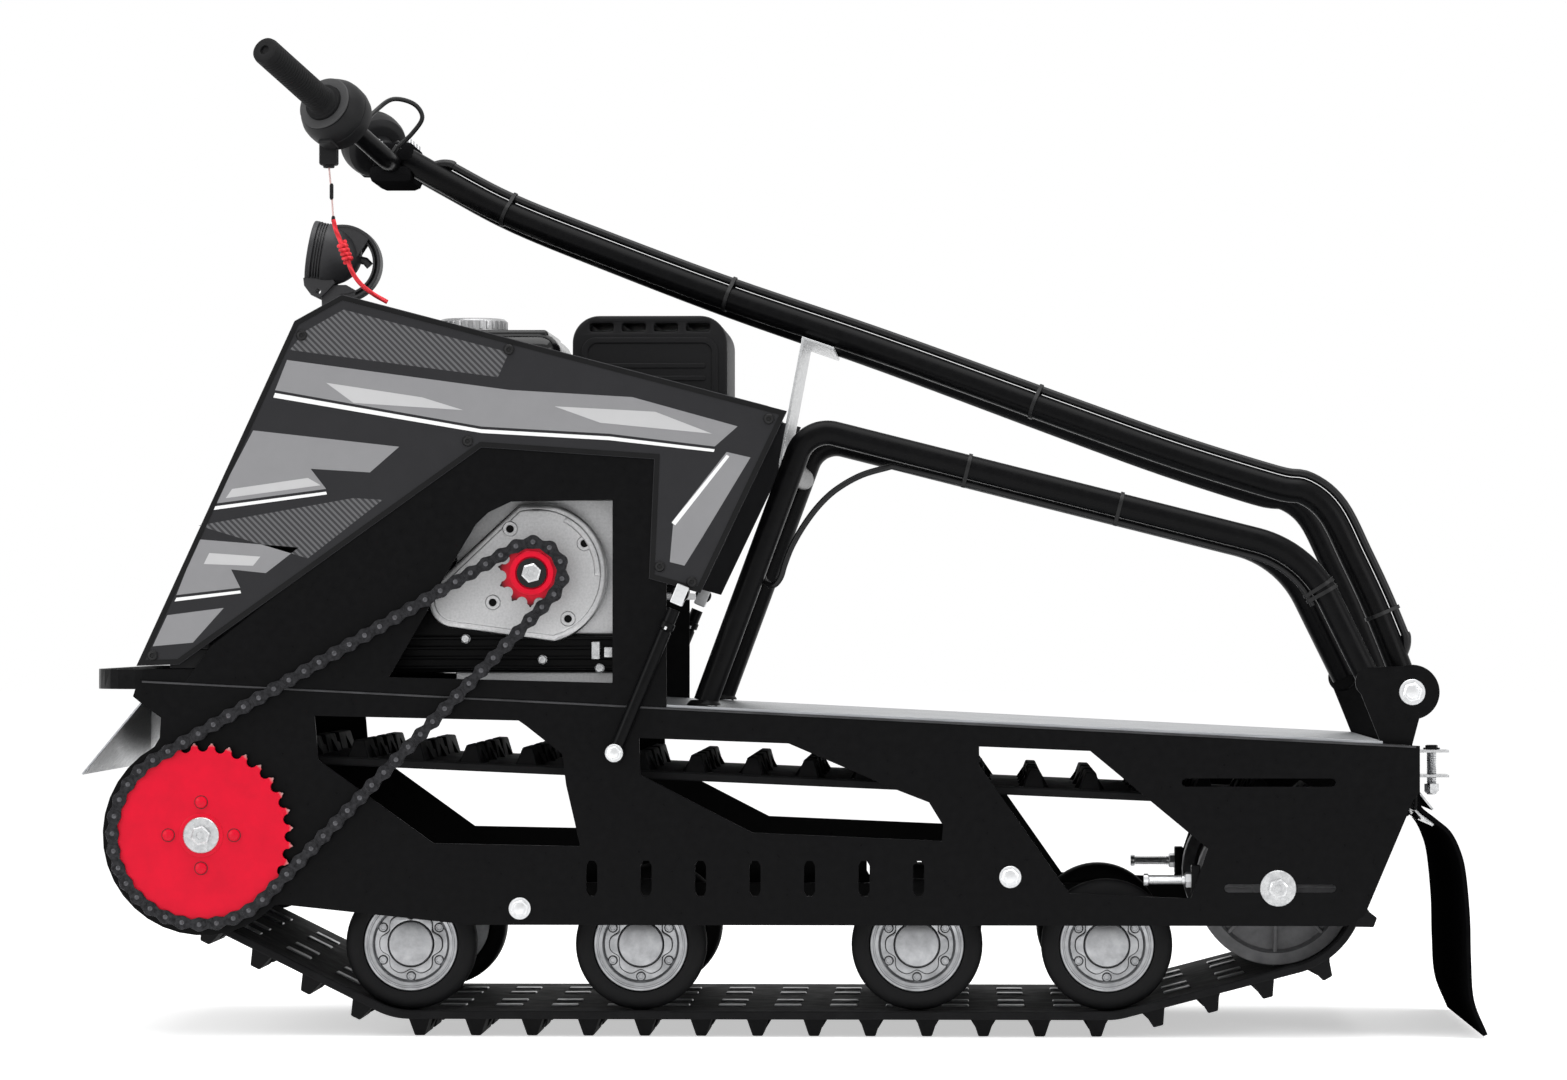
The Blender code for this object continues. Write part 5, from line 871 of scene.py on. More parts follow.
# %% Add the oil sump
SUMP_FACE = -COVER_FACE + 10
sump = [block((-462, SUMP_FACE + 6, 398.5), (-162, -60, 442), 4),
        block((-462, SUMP_FACE + 6, 430), (-300, -60, 470), 6)]
sump += [block((-456, SUMP_FACE, z), (-176, SUMP_FACE + 12, z + 4), 1.4) for z in (402, 413, 424, 435)]
place_piece("ribbed_oil_sump", sump, powder_coat)
screws = [mesh for x, z in ((-353, 436), (-268, 413), (-205, 403.5))
          for mesh in hex_bolt((x, SUMP_FACE + 1, z), -Y, 9, 5.4, 5)]
screws += [block((-214, SUMP_FACE - 2, 413), (-204, SUMP_FACE + 10, 433), 1.4),
           block((-200, SUMP_FACE - 3, 415), (-190, SUMP_FACE + 10, 427), 1.4)]
place_piece("sump_screws", screws, zinc_plate)
print("sump face:", round(-SUMP_FACE, 1), "mm from the middle")

# %% Shaft end and starter
inner_hub = SPROCKET_FACE - SPROCKET - 0.6
shaft_end = [turned(rod(10, 196, SPROCKET_FACE), SHAFT, -Y, 32),
             turned(collar(10, 16.5, COVER_FACE + 0.4, inner_hub), SHAFT, -Y, 32)]
shaft_end += hex_bolt(SHAFT - Y * (SPROCKET_FACE + 2.4), -Y, 19, 0, 7)
place_piece("engine_shaft_end", shaft_end, zinc_plate, ["output_shaft"])
washer_profile = [(10, 0), (16, 0), (16.4, 0.6), (16, 2.4), (0, 2.4)]
washer = turned(washer_profile, SHAFT - Y * SPROCKET_FACE, -Y, 40)
place_piece("engine_shaft_washer", [washer], gloss_abs)

starter_low, starter_high = box("recoil_starter")
depth = starter_high.y - starter_low.y
starter_foot = SHAFT + Y * starter_low.y
at_starter = Matrix.Translation(starter_foot * MM)
# The starter's profile is (radius, share of its depth).
STARTER_PROFILE = [(0, 0), (84.5, 0), (84.5, 0.45), (80, 0.62), (62, 0.94), (58, 0.97), (30, 0.97), (28, 0.9),
                   (24, 0.9), (22, 1), (0, 1)]
STARTER_RIBS = 24
starter = [turned([(radius, share * depth) for radius, share in STARTER_PROFILE], starter_foot, Y, 72)]
for i in range(STARTER_RIBS):
    spin = at_starter @ Matrix.Rotation(math.tau * i / STARTER_RIBS, 4, "Y")
    starter.append(block((33, depth * 0.955, -1.8), (56, depth, 1.8), 0.6, spin))
starter.append(block((-20, depth * 0.30, 60), (20, depth * 0.80, 84.5), 3, at_starter))
place_piece("recoil_starter_cover", starter, moulded_abs, ["recoil_starter"])
print("starter depth:", round(depth, 1), "mm, ribs:", STARTER_RIBS)

# %% [markdown]
# ## The cowl and its printed film
# The cowl is vacuum-formed ABS with a printed vinyl film laid on each side: angular bands in
# greys with pale accents, a fine hatch and a black border. A film is a real layer, so each
# colour is cut as a thin plate and stacked on the panel. The layout here is a plain one.

# %% Cowl finishes
cowl_abs = coat("vacuum_formed_abs", ("#28282a", "#232325"), 30, 0.6, (0.36, 0.48), 0.42, shine=0.14)
film_mid = coat("printed_film_mid_grey", ("#868688", "#7f7f81"), 40, 0.5, (0.34, 0.42), 0.38, shine=0.3)
film_light = coat("printed_film_light_grey", ("#b9b9ba", "#b1b1b2"), 40, 0.5, (0.34, 0.42), 0.38, ior=1.5)
film_white = coat("printed_film_white", ("#ececec", "#e2e2e2"), 40, 0.5, (0.34, 0.42), 0.38, ior=1.5)
film_black = coat("printed_film_black", ("#0c0c0d", "#121213"), 40, 0.5, (0.3, 0.4), 0.34, shine=0.15)
film_hatch = finish("printed_film_hatch", "#4a4a4c", 0.38, shine=0.3)
hatch_tree = film_hatch.node_tree
# The printed lines are 3.5 mm apart. The wave texture repeats after tau / 20 of its scaled unit.
HATCH_PITCH = 3.5 * MM
hatch = add(hatch_tree, "ShaderNodeTexWave",
            {"Scale": math.tau / 20 / HATCH_PITCH, "bands_direction": "DIAGONAL"},
            {"Vector": add(hatch_tree, "ShaderNodeTexCoord").outputs["Object"]})
line_edge = add(hatch_tree, "ShaderNodeMapRange", {"From Min": 0.45, "From Max": 0.6},
                {"Value": hatch.outputs["Fac"]})
tint(film_hatch, {6: linear("#303032"), 7: linear("#5c5c5e")}, line_edge.outputs["Result"])
print("cowl finishes:", cowl_abs.name, film_mid.name)


# %% Cut and lay the film
def inset(points, distance):
    """A closed outline moved inwards by a distance, corner by corner."""
    area = sum(a[0] * b[1] - b[0] * a[1] for a, b in zip(points, points[1:] + points[:1]))
    turn = 1 if area > 0 else -1
    made = []
    for before, here, after in zip(points[-1:] + points[:-1], points, points[1:] + points[:1]):
        a = (Vector(here) - Vector(before)).normalized()
        b = (Vector(after) - Vector(here)).normalized()
        na, nb = Vector((-a.y, a.x)) * turn, Vector((-b.y, b.x)) * turn
        made.append(tuple(Vector(here) + (na + nb) * distance / (1 + na.dot(nb))))
    return made


PANEL = [(-708, 406.5), (-535, 783.7), (-483, 812.5), (4, 684.6), (-90.7, 486.1), (-146.9, 501.9),
         (-141.2, 632.2), (-329.9, 645.2), (-661, 408.1)]
# Each film is its finish, its layer in tenths of a millimetre, and its cut shapes. The border
# is the one shape with a hole in it.
FILM = {
    "film_bands": (film_mid, 1, [
        [[(-543, 741), (-300, 708), (-165, 700), (-50, 668), (-75, 646), (-190, 660), (-330, 668),
          (-556, 708)]],
        [[(-580, 664), (-420, 646), (-452, 618), (-517, 622), (-500, 600), (-622, 584)]],
        [[(-640, 545), (-530, 536), (-566, 508), (-604, 512), (-594, 492), (-664, 484)]],
        [[(-674, 462), (-612, 470), (-646, 432), (-690, 428)]],
        [[(-36, 634), (-62, 640), (-120, 566), (-124, 520), (-108, 516), (-88, 548)]]]),
    "film_light_bands": (film_light, 2, [
        [[(-500, 716), (-395, 700), (-350, 686), (-470, 694)]],
        [[(-250, 690), (-140, 684), (-78, 660), (-200, 672)]],
        [[(-603, 600), (-520, 612), (-506, 604), (-610, 590)]],
        [[(-628, 530), (-572, 526), (-580, 516), (-634, 518)]]]),
    "film_white_lines": (film_white, 3, [
        [[(-556, 705), (-330, 665), (-190, 657), (-75, 643), (-76, 640), (-190, 653), (-330, 661),
          (-558, 700)]],
        [[(-622, 581), (-500, 597), (-499, 594), (-624, 577)]],
        [[(-664, 481), (-594, 489), (-593, 486), (-666, 477)]],
        [[(-122, 563), (-62, 637), (-59, 635), (-118, 560)]]]),
    "film_hatching": (film_hatch, 1, [
        [[(-524, 772), (-481, 796), (-300, 749), (-312, 722), (-540, 752)]],
        [[(-640, 560), (-470, 590), (-438, 588), (-520, 524), (-600, 548)]]]),
    "film_border": (film_black, 4, [[inset(PANEL, 0.8), inset(PANEL, 6)]]),
}
FILM_Y = -box("cowl_panel_left")[0].y
FILM_THICK, FILM_EDGE = 0.16, 0.03
for name, (material, layer, shapes) in FILM.items():
    film = [plate(loops, sign * (FILM_Y + 0.10 * layer), FILM_THICK, FILM_EDGE)
            for side, sign in SIDES for loops in shapes]
    place_piece(name, film, material)

# The nose carries the same film: three plain shapes on each half of its sloping front.
NOSE_FILM = [[(120, 44), (176, 44), (262, 250), (262, 330)], [(206, 44), (240, 44), (262, 98), (262, 178)],
             [(60, 300), (90, 300), (118, 366), (88, 366)]]
nose_foot, nose_top = [Vector((x, 0, z)) for x, z in PANEL[:2]]
slope = (nose_top - nose_foot).normalized()
nose_skin = nose_foot + Y.cross(slope) * 0.12
nose = [plate([[(sign * y, v) for y, v in shape]], 0, FILM_THICK, FILM_EDGE, Y, slope, nose_skin)
        for side, sign in SIDES for shape in NOSE_FILM]
place_piece("nose_film", nose, film_mid)
screw_profile = [(6, 0), (6, 0.8), (4.8, 2.4), (2.6, 3), (2.2, 1.6), (0, 1.6)]
COWL_SCREWS = [(-690, 418), (-527, 768), (-300, 752), (-16, 676), (-100, 498), (-135, 515), (-345, 652)]
screws = [turned(screw_profile, (x, sign * (FILM_Y + 0.4), z), Y * sign, 24)
          for side, sign in SIDES for x, z in COWL_SCREWS]
place_piece("cowl_screws", screws, nylon)
print("film layers:", len(FILM) + 1)

# %% [markdown]
# ## Tank, cap and muffler guard
# Both stand out of the cowl's hatch. The tank is blow-moulded, so it has big soft corners and
# a parting line. The guard is a moulded hood with a row of slots, ribs and a framed side.

# %% Mould the tank and the cap
TANK_FLOOR = 660
tank_low, tank_high = box("fuel_tank")
tank_seam = (TANK_FLOOR + tank_high.z) / 2


def tank_block(in_x, in_y, low_z, high_z, edge, segments):
    """A soft block between two heights, as wide as the tank less in_x and in_y on each side."""
    return block((tank_low.x + in_x, tank_low.y + in_y, low_z),
                 (tank_high.x - in_x, tank_high.y - in_y, high_z), edge, segments=segments)


tank = [tank_block(0, 0, TANK_FLOOR, tank_high.z - 3, 24, 5),
        tank_block(14, 16, tank_high.z - 16, tank_high.z, 5, 3),
        block((-378, -29, tank_low.z), (-322, 29, TANK_FLOOR + 8), 2),
        tank_block(0.2, 0.2, tank_seam - 2, tank_seam + 2, 1.8, 2)]
place_piece("moulded_fuel_tank", tank, gloss_abs, ["fuel_tank"])
cap_low, cap_high = box("fuel_cap")
cap_foot = Vector((middle("fuel_cap").x, 0, cap_low.z))
top = cap_high.z - cap_low.z
cap_profile = [(0, 0), (33, 0), (33, 3), (38, 3.4), (38.6, top - 3), (36, top - 0.6), (33, top),
               (20, top - 1), (0, top - 1)]
KNURLS = 30
cap = [turned(cap_profile, cap_foot, Z, 72)]
for i in range(KNURLS):
    knurl = Matrix.Translation(cap_foot * MM) @ Matrix.Rotation(math.tau * i / KNURLS, 4, "Z")
    cap.append(block((37, -1.6, 4.4), (39.6, 1.6, top - 3.4), 0.6, knurl))
place_piece("knurled_fuel_cap", cap, die_cast, ["fuel_cap"])
print("cap height:", round(top, 1), "mm, knurls:", KNURLS)


# %% Mould the muffler guard
def round_outline(low, high, radius, step=12):
    """A rectangle with rounded corners, from the low corner and counter-clockwise."""
    x0, z0, x1, z1 = low[0] + radius, low[1] + radius, high[0] - radius, high[1] - radius
    outline = []
    for i, corner in enumerate(((x0, z0), (x1, z0), (x1, z1), (x0, z1))):
        outline += arc(corner, radius, 180 + 90 * i, 270 + 90 * i, step)
    return outline


GUARD_FLOOR = 620
(left, front, foot), (right, half, top) = box("muffler_guard")
# The hood has wide corners above and tight ones at its foot.
hood = (arc((right - 30, top - 30), 30, 0, 90) + arc((left + 30, top - 30), 30, 90, 180)
        + arc((left + 4, GUARD_FLOOR + 4), 4, 180, 270, 30)
        + arc((right - 4, GUARD_FLOOR + 4), 4, 270, 360, 30))
slot_middles = [(left + right) / 2 + 36 * (i - 1.5) for i in range(4)]
slots = [round_outline((x - 13, top - 17), (x + 13, top - 9), 2.5, 30) for x in slot_middles]
guard = [plate([hood, *slots], 0, half * 2 - 4, 3), block((-226, -29, foot), (-197, 29, GUARD_FLOOR + 8), 2)]
side_frame = [round_outline((left + 10, GUARD_FLOOR + 14), (right - 10, top - 24), 16),
              round_outline((left + 17, GUARD_FLOOR + 21), (right - 17, top - 31), 11)]
for side, sign in SIDES:
    guard.append(plate(side_frame, sign * (half - 2.2), 4, 1.2))
    for i in range(7):
        z = GUARD_FLOOR + 34 + i * 14
        rib = round_outline((left + 24, z), (right - 24, z + 6), 2.8, 30)
        guard.append(plate([rib], sign * (half - 2.4), 3, 1.0))
for i in range(5):
    x = left + 34 + i * (right - left - 68) / 4
    guard.append(block((x - 3, 10 - half, top - 5), (x + 3, half - 10, top), 1.4))
place_piece("muffler_guard_hood", guard, moulded_abs, ["muffler_guard"], smooth_angle=25)
print("guard width:", round(half * 2), "mm")

# %% [markdown]
# ## The tube work
# The loop and the folding stem are drawn-over-mandrel steel tube, powder-coated after welding.
# A bent tube keeps its round section through the bend, so its middle line is rounded first and
# the section is swept along it. The CAD's own corner places are used again here.

# %% Bend the loop
def bent(points, radii, step=4):
    """A path through corner points, each inner corner rounded by its radius."""
    points = [Vector(point) for point in points]
    path = points[:1]
    for before, corner, after, radius in zip(points, points[1:], points[2:], radii):
        a, b = (before - corner).normalized(), (after - corner).normalized()
        half = a.angle(b) / 2
        centre = corner + (a + b).normalized() * radius / math.sin(half)
        start = corner + a * radius / math.tan(half) - centre
        end = corner + b * radius / math.tan(half) - centre
        count = max(2, math.ceil(math.degrees(start.angle(end)) / step))
        path += [centre + start.lerp(end, i / count).normalized() * radius for i in range(count + 1)]
    return path + points[-1:]


LOOP_TUBE, RAIL_Y = 13.5, 235
LOOP_CORNERS = [(-87, 366.5), (25, 669), (571, 531), (641, 389)]
FOOT_X, BRACKET_FOOT = LOOP_CORNERS[0][0] - 2, LOOP_CORNERS[3]
PIVOT = (686, 378)
bracket = [arc(PIVOT, 30, -75, 110) + arc(BRACKET_FOOT, 17, 110, 230) + [(652, 321.5), (686, 319.8)],
           ring(PIVOT, 6.2, 28)]
saddle = [(0, 0), (19, 0), (18, 2.6), (14.5, 6), (0, 6)]
bead = [(13.4, -1.2), (16, -0.4), (15, 1.4), (13.4, 2.8)]
loop, brackets = [], []
for side, sign in SIDES:
    path = bent([(x, sign * RAIL_Y, z) for x, z in LOOP_CORNERS], [35, 120])
    loop.append(tube(path, LOOP_TUBE))
    # A small saddle of weld closes each foot on the deck, and a bead each rail's end.
    loop.append(turned(saddle, (FOOT_X, sign * RAIL_Y, 363), Z, 32))
    brackets += [plate(bracket, sign * 246, 5, 0.9),
                 turned(bead, (BRACKET_FOOT[0], sign * 243.6, BRACKET_FOOT[1]), Y * -sign, 32)]
loop.append(tube([(7.6, -RAIL_Y, 621.5), (7.6, RAIL_Y, 621.5)], 12.9))
place_piece("bent_tube_loop", loop + brackets, powder_coat, ["loop_frame"])
print("loop rail:", round(metres_along(path), 3), "m")

# %% Bend the stem and close its clamp
# The stem's middle line in shares of its length and height, from the pivot to the bar.
STEM_SHARES = [(0, 0), (0.018, 0.087), (0.035, 0.164), (0.054, 0.24), (0.076, 0.322), (0.1, 0.36),
               (0.13, 0.371), (0.228, 0.429), (0.336, 0.502), (0.513, 0.624), (0.663, 0.721),
               (0.79, 0.811), (0.884, 0.882), (0.949, 0.946), (1, 1)]
STEM_TUBE, STEM_REACH, STEM_RISE = 14, 1136, 609
# The two rails run level at first and then close in on the clamp.
stem_left = [(PIVOT[0] - sx * STEM_REACH, 145 * max(0, (sx - 0.13) / 0.87) - 195, PIVOT[1] + sz * STEM_RISE)
             for sx, sz in STEM_SHARES]
stem_left = smooth_line(stem_left, 6)
eye = [(6.9, 181), (17, 181), (18, 182), (18, 208), (17, 209), (6.9, 209), (6.9, 181)]
stem = []
for side, sign in SIDES:
    stem += [tube([(p.x, -sign * p.y, p.z) for p in stem_left], STEM_TUBE),
             turned(eye, (PIVOT[0], 0, PIVOT[1]), Y * sign, 40)]
place_piece("bent_stem_tubes", stem, powder_coat, ["stem"], "handle")
# The clamp is a saddle and a cap that close on the bar, cast with soft edges and left matt.
clamp_coat = finish("matt_clamp_coat", "#161617", 0.85, shine=0.0)
clamp = [block((-475, -68, 950), (-425, 68, 971.5), 9), block((-475, -68, 974.5), (-425, 68, 996), 5),
         block((-470, -63, 970), (-430, 63, 976), 0.5)]
place_piece("handlebar_clamp", clamp, clamp_coat, body="handle")
socket_screw = [(0, 0), (4.4, 0), (4.8, 0.4), (4.8, 4), (4.2, 4.8), (2.5, 4.8), (2.3, 2.2), (0, 2.2)]
screws = [turned(socket_screw, (x, y, 995.8), Z, 24) for x in (-468, -432) for y in (-54, -20, 20, 54)]
place_piece("clamp_socket_screws", screws, zinc_plate, body="handle")
print("stem rail:", round(metres_along(stem_left), 3), "m")

# %% [markdown]
# ## Bar, grips and switch housings
# The bar is one bent tube. The grips are thermoplastic rubber pulled over its ends, with fine
# rings for hold, a flange and a vented end. The housings are two moulded halves screwed
# together, so each one gets a split line, and they swell in the middle.

# %% Bar, grips and switch housings
BAR_END, BAR_KNEE = (-560, 338, 1074), (-450, 115, 973)
bar_corners = [(x, -y, z) for x, y, z in (BAR_END, BAR_KNEE)] + [BAR_KNEE, BAR_END]
place_piece("bent_handlebar", [tube(bent(bar_corners, [40, 40]), 11)], powder_coat,
            ["handlebar"], "handle")
flange_rubber = coat("grip_flange_rubber", ("#2c2c2d", "#383839"), 3, 0.7, (0.5, 0.7), 0.6, 0.1, shine=0.4)
GRIP_RINGS, RING_PITCH = 24, 4.6
# The profiles start at the bar's end and run inwards along it.
grip_profile = [(0, 0.6), (5, 0.6), (5.4, 3.4), (12, 4.2), (14.6, 2.6), (15.5, -1.5), (15.5, -5)]
for i in range(GRIP_RINGS):
    start = -6 - i * RING_PITCH
    grip_profile += [(14.6, start), (14.6, start - 1.3), (15.5, start - 2), (15.5, start - 4)]
grip_profile += [(15.5, -119), (17, -121.4), (20.4, -122), (21, -123), (21, -127), (20.2, -128), (11.2, -128)]
drum_profile = [(11.2, -128.4), (28, -128.4), (31, -130), (34.6, -136), (37.2, -143), (38, -150),
                (37.6, -151.4), (36.8, -152), (37.6, -152.6), (38, -154), (37.6, -163), (35.6, -171),
                (31, -175.2), (27, -176.2), (17, -176.2), (16, -179), (16, -190), (14, -192), (11.2, -192)]
switch_foot = [(0, 0), (6.4, 0), (6.4, 2.6), (5.6, 3.4), (0, 3.4)]
disc_profile = [(21.4, -126.2), (29.4, -126.2), (30.6, -127), (30.6, -128.2), (21.4, -128.2), (21.4, -126.2)]
for side, sign in SIDES:
    tip, knee = [Vector((x, sign * y, z)) for x, y, z in (BAR_END, BAR_KNEE)]
    hand_aim = (tip - knee).normalized()
    place_piece(f"ringed_grip_{side}", [turned(grip_profile, tip, hand_aim)], grip_rubber,
                [f"grip_{side}"], "handle", 40)
    down = (Z - hand_aim * Z.dot(hand_aim)).normalized() * -1
    axes = hand_aim.cross(down), down, hand_aim
    # A lug under the drum takes the clamp screw, and a boss holds the cable's end.
    housing = [turned(drum_profile, tip, hand_aim, 64),
               block((-7, 12, -6), (7, 22, 6), 1.6, stand(tip - hand_aim * 184, *axes)),
               block((-9, 30, -9), (9, 40.5, 9), 2.4, stand(tip - hand_aim * 152, *axes))]
    if side == "left":
        housing += [block((-516, -210, 960), (-496, -190, 992), 2.2),
                    turned(switch_foot, (-506, -200, 960.5), -Z, 24)]
    place_piece(f"switch_housing_{side}", housing, moulded_abs, [f"control_housing_{side}"],
                "handle", 30)
    # The thumb plate in front of the drum is the light disc behind the grip's flange.
    disc = turned(disc_profile, tip, hand_aim, 56)
    place_piece(f"throttle_disc_{side}", [disc], flange_rubber, body="handle")
print("grip rings:", GRIP_RINGS, "on each side")


# %% [markdown]
# ## Cables and ties
# Control cables are steel rope in an extruded PVC jacket. They keep a wide bend and are held to
# the tubes by nylon ties. A tie is one band round tube and cable together, with its small head.

# %% Cables and ties
TIE_WIDTH, TIE_THICK, TIE_GAP = 4.2, 1.4, 0.25


def beside(points, lift):
    """A route beside a tube, lifted in the side view."""
    made = []
    for before, here, after in zip([points[0]] + points, points, points[1:] + [points[-1]]):
        run = (after - before).normalized()
        made.append(here + Vector((run.z, 0, -run.x)).normalized() * lift)
    return made


def ties(points, places, tube_radius, lift, cable_radius):
    """Bands round a tube and the cable beside it, nearest to places such as ("x", 278) on the tube."""
    meshes = []
    for axis, wanted in places:
        spot = min(range(1, len(points) - 1), key=lambda k: abs(getattr(points[k], axis) - wanted))
        run = (points[spot + 1] - points[spot - 1]).normalized()
        side = Vector((run.z, 0, -run.x)).normalized()
        third = run.cross(side).normalized()
        loops = []
        for grow in (TIE_GAP + TIE_THICK, TIE_GAP):
            big, small = tube_radius + grow, cable_radius + grow
            lean = math.degrees(math.acos(max(-1, min(1, (big - small) / lift))))
            loops.append(arc((0, 0), big, lean, 360 - lean, 10) + arc((lift, 0), small, -lean, lean, 12))
        meshes += [plate(loops, 0, TIE_WIDTH, 0.3, side, third, points[spot]),
                   block((-3.2, tube_radius + 0.4, -3), (3.2, tube_radius + 5.4, 3), 0.7,
                         stand(points[spot], side, third, run))]
    return meshes


print("tie band in mm:", TIE_WIDTH, "wide,", TIE_THICK, "thick")

# %% The stem's cable
STEM_CABLE, FRAME_CABLE = 4.5, 3.5
stem_lift = STEM_TUBE + STEM_CABLE + 0.6
stem_route = stem_left[6:-6]
stem_line = beside(stem_route, stem_lift)
stem_cable = [tube(stem_line, STEM_CABLE, 16)]
# Both ends leave through a hole in the tube's wall, in a soft rubber sleeve.
for end, next_one in ((0, 1), (-1, -2)):
    at_tube, at_cable = stem_route[end], stem_line[end]
    onward = (at_tube - stem_route[next_one]).normalized()
    dive = [at_cable - onward * 4, at_cable, at_cable.lerp(at_tube, 0.22) + onward * 9,
            at_cable.lerp(at_tube, 0.7) + onward * 19]
    stem_cable.append(tube(smooth_line(dive, 6), 5.6, 16))
place_piece("stem_control_cable", stem_cable, cable_jacket, ["stem_cable"], "handle")
stem_places = (("x", -319), ("x", -69), ("x", 278), ("z", 462))
stem_ties = ties(stem_route, stem_places, STEM_TUBE, stem_lift, STEM_CABLE)
place_piece("stem_cable_ties", stem_ties, nylon, body="handle")
bar_route = [(-476, -150, 1006), (-461.5, -118, 1027.7), (-443.6, -108, 1041.1), (-421.2, -98, 1036.6),
             (-412.3, -90, 1022), (-423.5, -84, 1005.3), (-440, -80, 990)]
bar_cable = [tube(smooth_line(bar_route, 8), 2.6, 14), tube([bar_route[-1], (-446, -78, 982)], 4.2, 14)]
place_piece("throttle_cable_loop", bar_cable, cable_jacket, body="handle")
print("stem cable:", round(metres_along(stem_route), 3), "m")

# %% The frame's cable
# The free bow, measured backwards, aside and down from the loop's front corner.
BOW = [(93, 0, 43.5), (60, 0, 53), (33, 0, 68), (14, 0, 85), (-3, 0, 107), (-17, 0, 131), (-25, 1, 151),
       (-30, 4, 166), (-38, 9, 174), (-47, 14.5, 170), (-51, 17.5, 157), (-49, 17.7, 137), (-41, 17.7, 109)]
front, knee, rear = [Vector((x, -RAIL_Y, z)) for x, z in LOOP_CORNERS[1:]]
bow = [front + Vector((back, aside, -down)) for back, aside, down in BOW]
start = front.lerp(knee, (bow[0].x - front.x) / (knee.x - front.x))
rail = bent([start, knee, rear], [120])
rail = [rail[0].lerp(rail[1], i / 24) for i in range(4, 24)] + rail[1:-1]
frame_lift = LOOP_TUBE + FRAME_CABLE + 1.2
frame_route = beside(rail, frame_lift)[::-1] + smooth_line(bow, 6)
place_piece("frame_control_cable", [tube(frame_route, FRAME_CABLE, 14)], cable_jacket,
            ["frame_cable"])
frame_places = (("x", 143), ("x", 363), ("x", 588), ("z", 424))
frame_ties = ties(rail, frame_places, LOOP_TUBE, frame_lift, FRAME_CABLE)
place_piece("frame_cable_ties", frame_ties, nylon)
print("frame cable:", round(metres_along(frame_route), 3), "m")

# %% [markdown]
# ## The headlamp
# A round work lamp: a moulded shell with rings that cool it, a bezel with ears, a metallised
# bowl behind a clear window, and a ribbed strap behind it that bolts to the cowl's nose. The
# shell is a turned profile, and the window is real clear plastic with the bowl seen through it.

# %% Turn the headlamp
TILT = math.radians(9.6)
lamp_aim = Vector((-math.cos(TILT), 0, math.sin(TILT)))
lamp_front = Vector((-548, 0, 876.5))
YOKE = (-510, 863)


def dome(radius, depth, steps, order):
    """Points of the shell's round back, outside or inside."""
    turns = [math.pi / 2 * i / steps for i in order]
    return [(radius * math.cos(a) - 0.6, -18.6 - depth * math.sin(a)) for a in turns]


def strap(outer, inner, width):
    """One flat layer of the strap behind the lamp, an open ring in the side view."""
    return plate([arc(YOKE, outer, -95, 100, 5) + arc(YOKE, inner, 100, -95, 5)], 0, width, 0.7)


profile = [(30.8, -4.6), (32.4, -3.8), (32.6, -0.6), (33.4, 0), (35.2, 0), (36, -0.8), (36, -5.4), (35.2, -6)]
for start in (-6.6, -9.6, -12.6, -15.6):
    profile += [(33.2, start), (33.2, start - 1), (35.4, start - 1.5), (35.4, start - 2.5)]
profile += dome(36, 41, 12, range(1, 12)) + [(0, -59.8), (0, -57)] + dome(34, 38, 8, range(7, -1, -1))
profile += [(30.8, -18), (30.8, -4.6)]
foot = [(-533, 788), (-493.5, 810.2), (-495.5, 832), (-506, 838), (-526, 838), (-534.5, 832)]
ear = [(-554.5, 845.5), (-553.5, 837), (-545.5, 826.2), (-536, 821.6), (-527, 830), (-518, 840), (-525, 852),
       (-542, 852)]
visor = [(-542.5, 906), (-540, 909.5), (-533, 910), (-530, 906), (-531, 890), (-540, 888)]
# The strap's cheeks reach from the shell to the ring and take the side screws.
cheek = arc(YOKE, 42, 42, 100) + arc(YOKE, 13, 100, 0, 12)
lamp = [turned(profile, lamp_front, lamp_aim, 64), strap(43.5, 40.2, 34), strap(40.4, 37, 12),
        strap(37.2, 34.4, 26), plate([foot], 0, 26, 1.6)]
for side, sign in SIDES:
    lamp += [plate([ear, ring((-537.1, 830.4), 2.8, 20)], sign * 15.5, 5, 1), plate([visor], sign * 9, 5, 1)]
lamp += [plate([cheek], sign * 14.5, 3, 0.8) for side, sign in SIDES]
lamp.append(tube([(-492.5, 0, 867.2), (-485, 0, 865.5), (-480, 0, 860)], 4.6, 16))
lamp_plastic = coat("glass_filled_nylon", ("#232325", "#303032"), 1.5, 0.7, (0.44, 0.6), 0.5, 0.05, shine=0.4)
place_piece("headlamp_shell", lamp, lamp_plastic, ["headlamp_housing"], smooth_angle=30)
window = [(0, -0.7), (14, -0.9), (24, -1.5), (31.4, -2.6), (31.8, -3.2), (31.8, -4.2), (24, -3.4), (0, -2.9)]
bowl = [(30.4, -5), (28, -12), (23, -20), (15, -27), (6, -30), (5, -22), (3.6, -19), (0, -18)]
place_piece("headlamp_window", [turned(window, lamp_front, lamp_aim, 64)], lamp_glass,
            ["headlamp_lens"])
place_piece("headlamp_bowl", [turned(bowl, lamp_front, lamp_aim, 64)], reflector)
print("lamp outline:", len(profile), "points")

# %% [markdown]
# ## Braces, pivot nuts and cross shafts
# The braces are small struts beside the cowl: a black sleeve, a short rod with a collar, and a
# bright steel end block. The big silver discs on the side plates are the washers and nuts of the
# suspension shafts, the rear axle and the brace feet. Nuts are zinc-plated and domed.


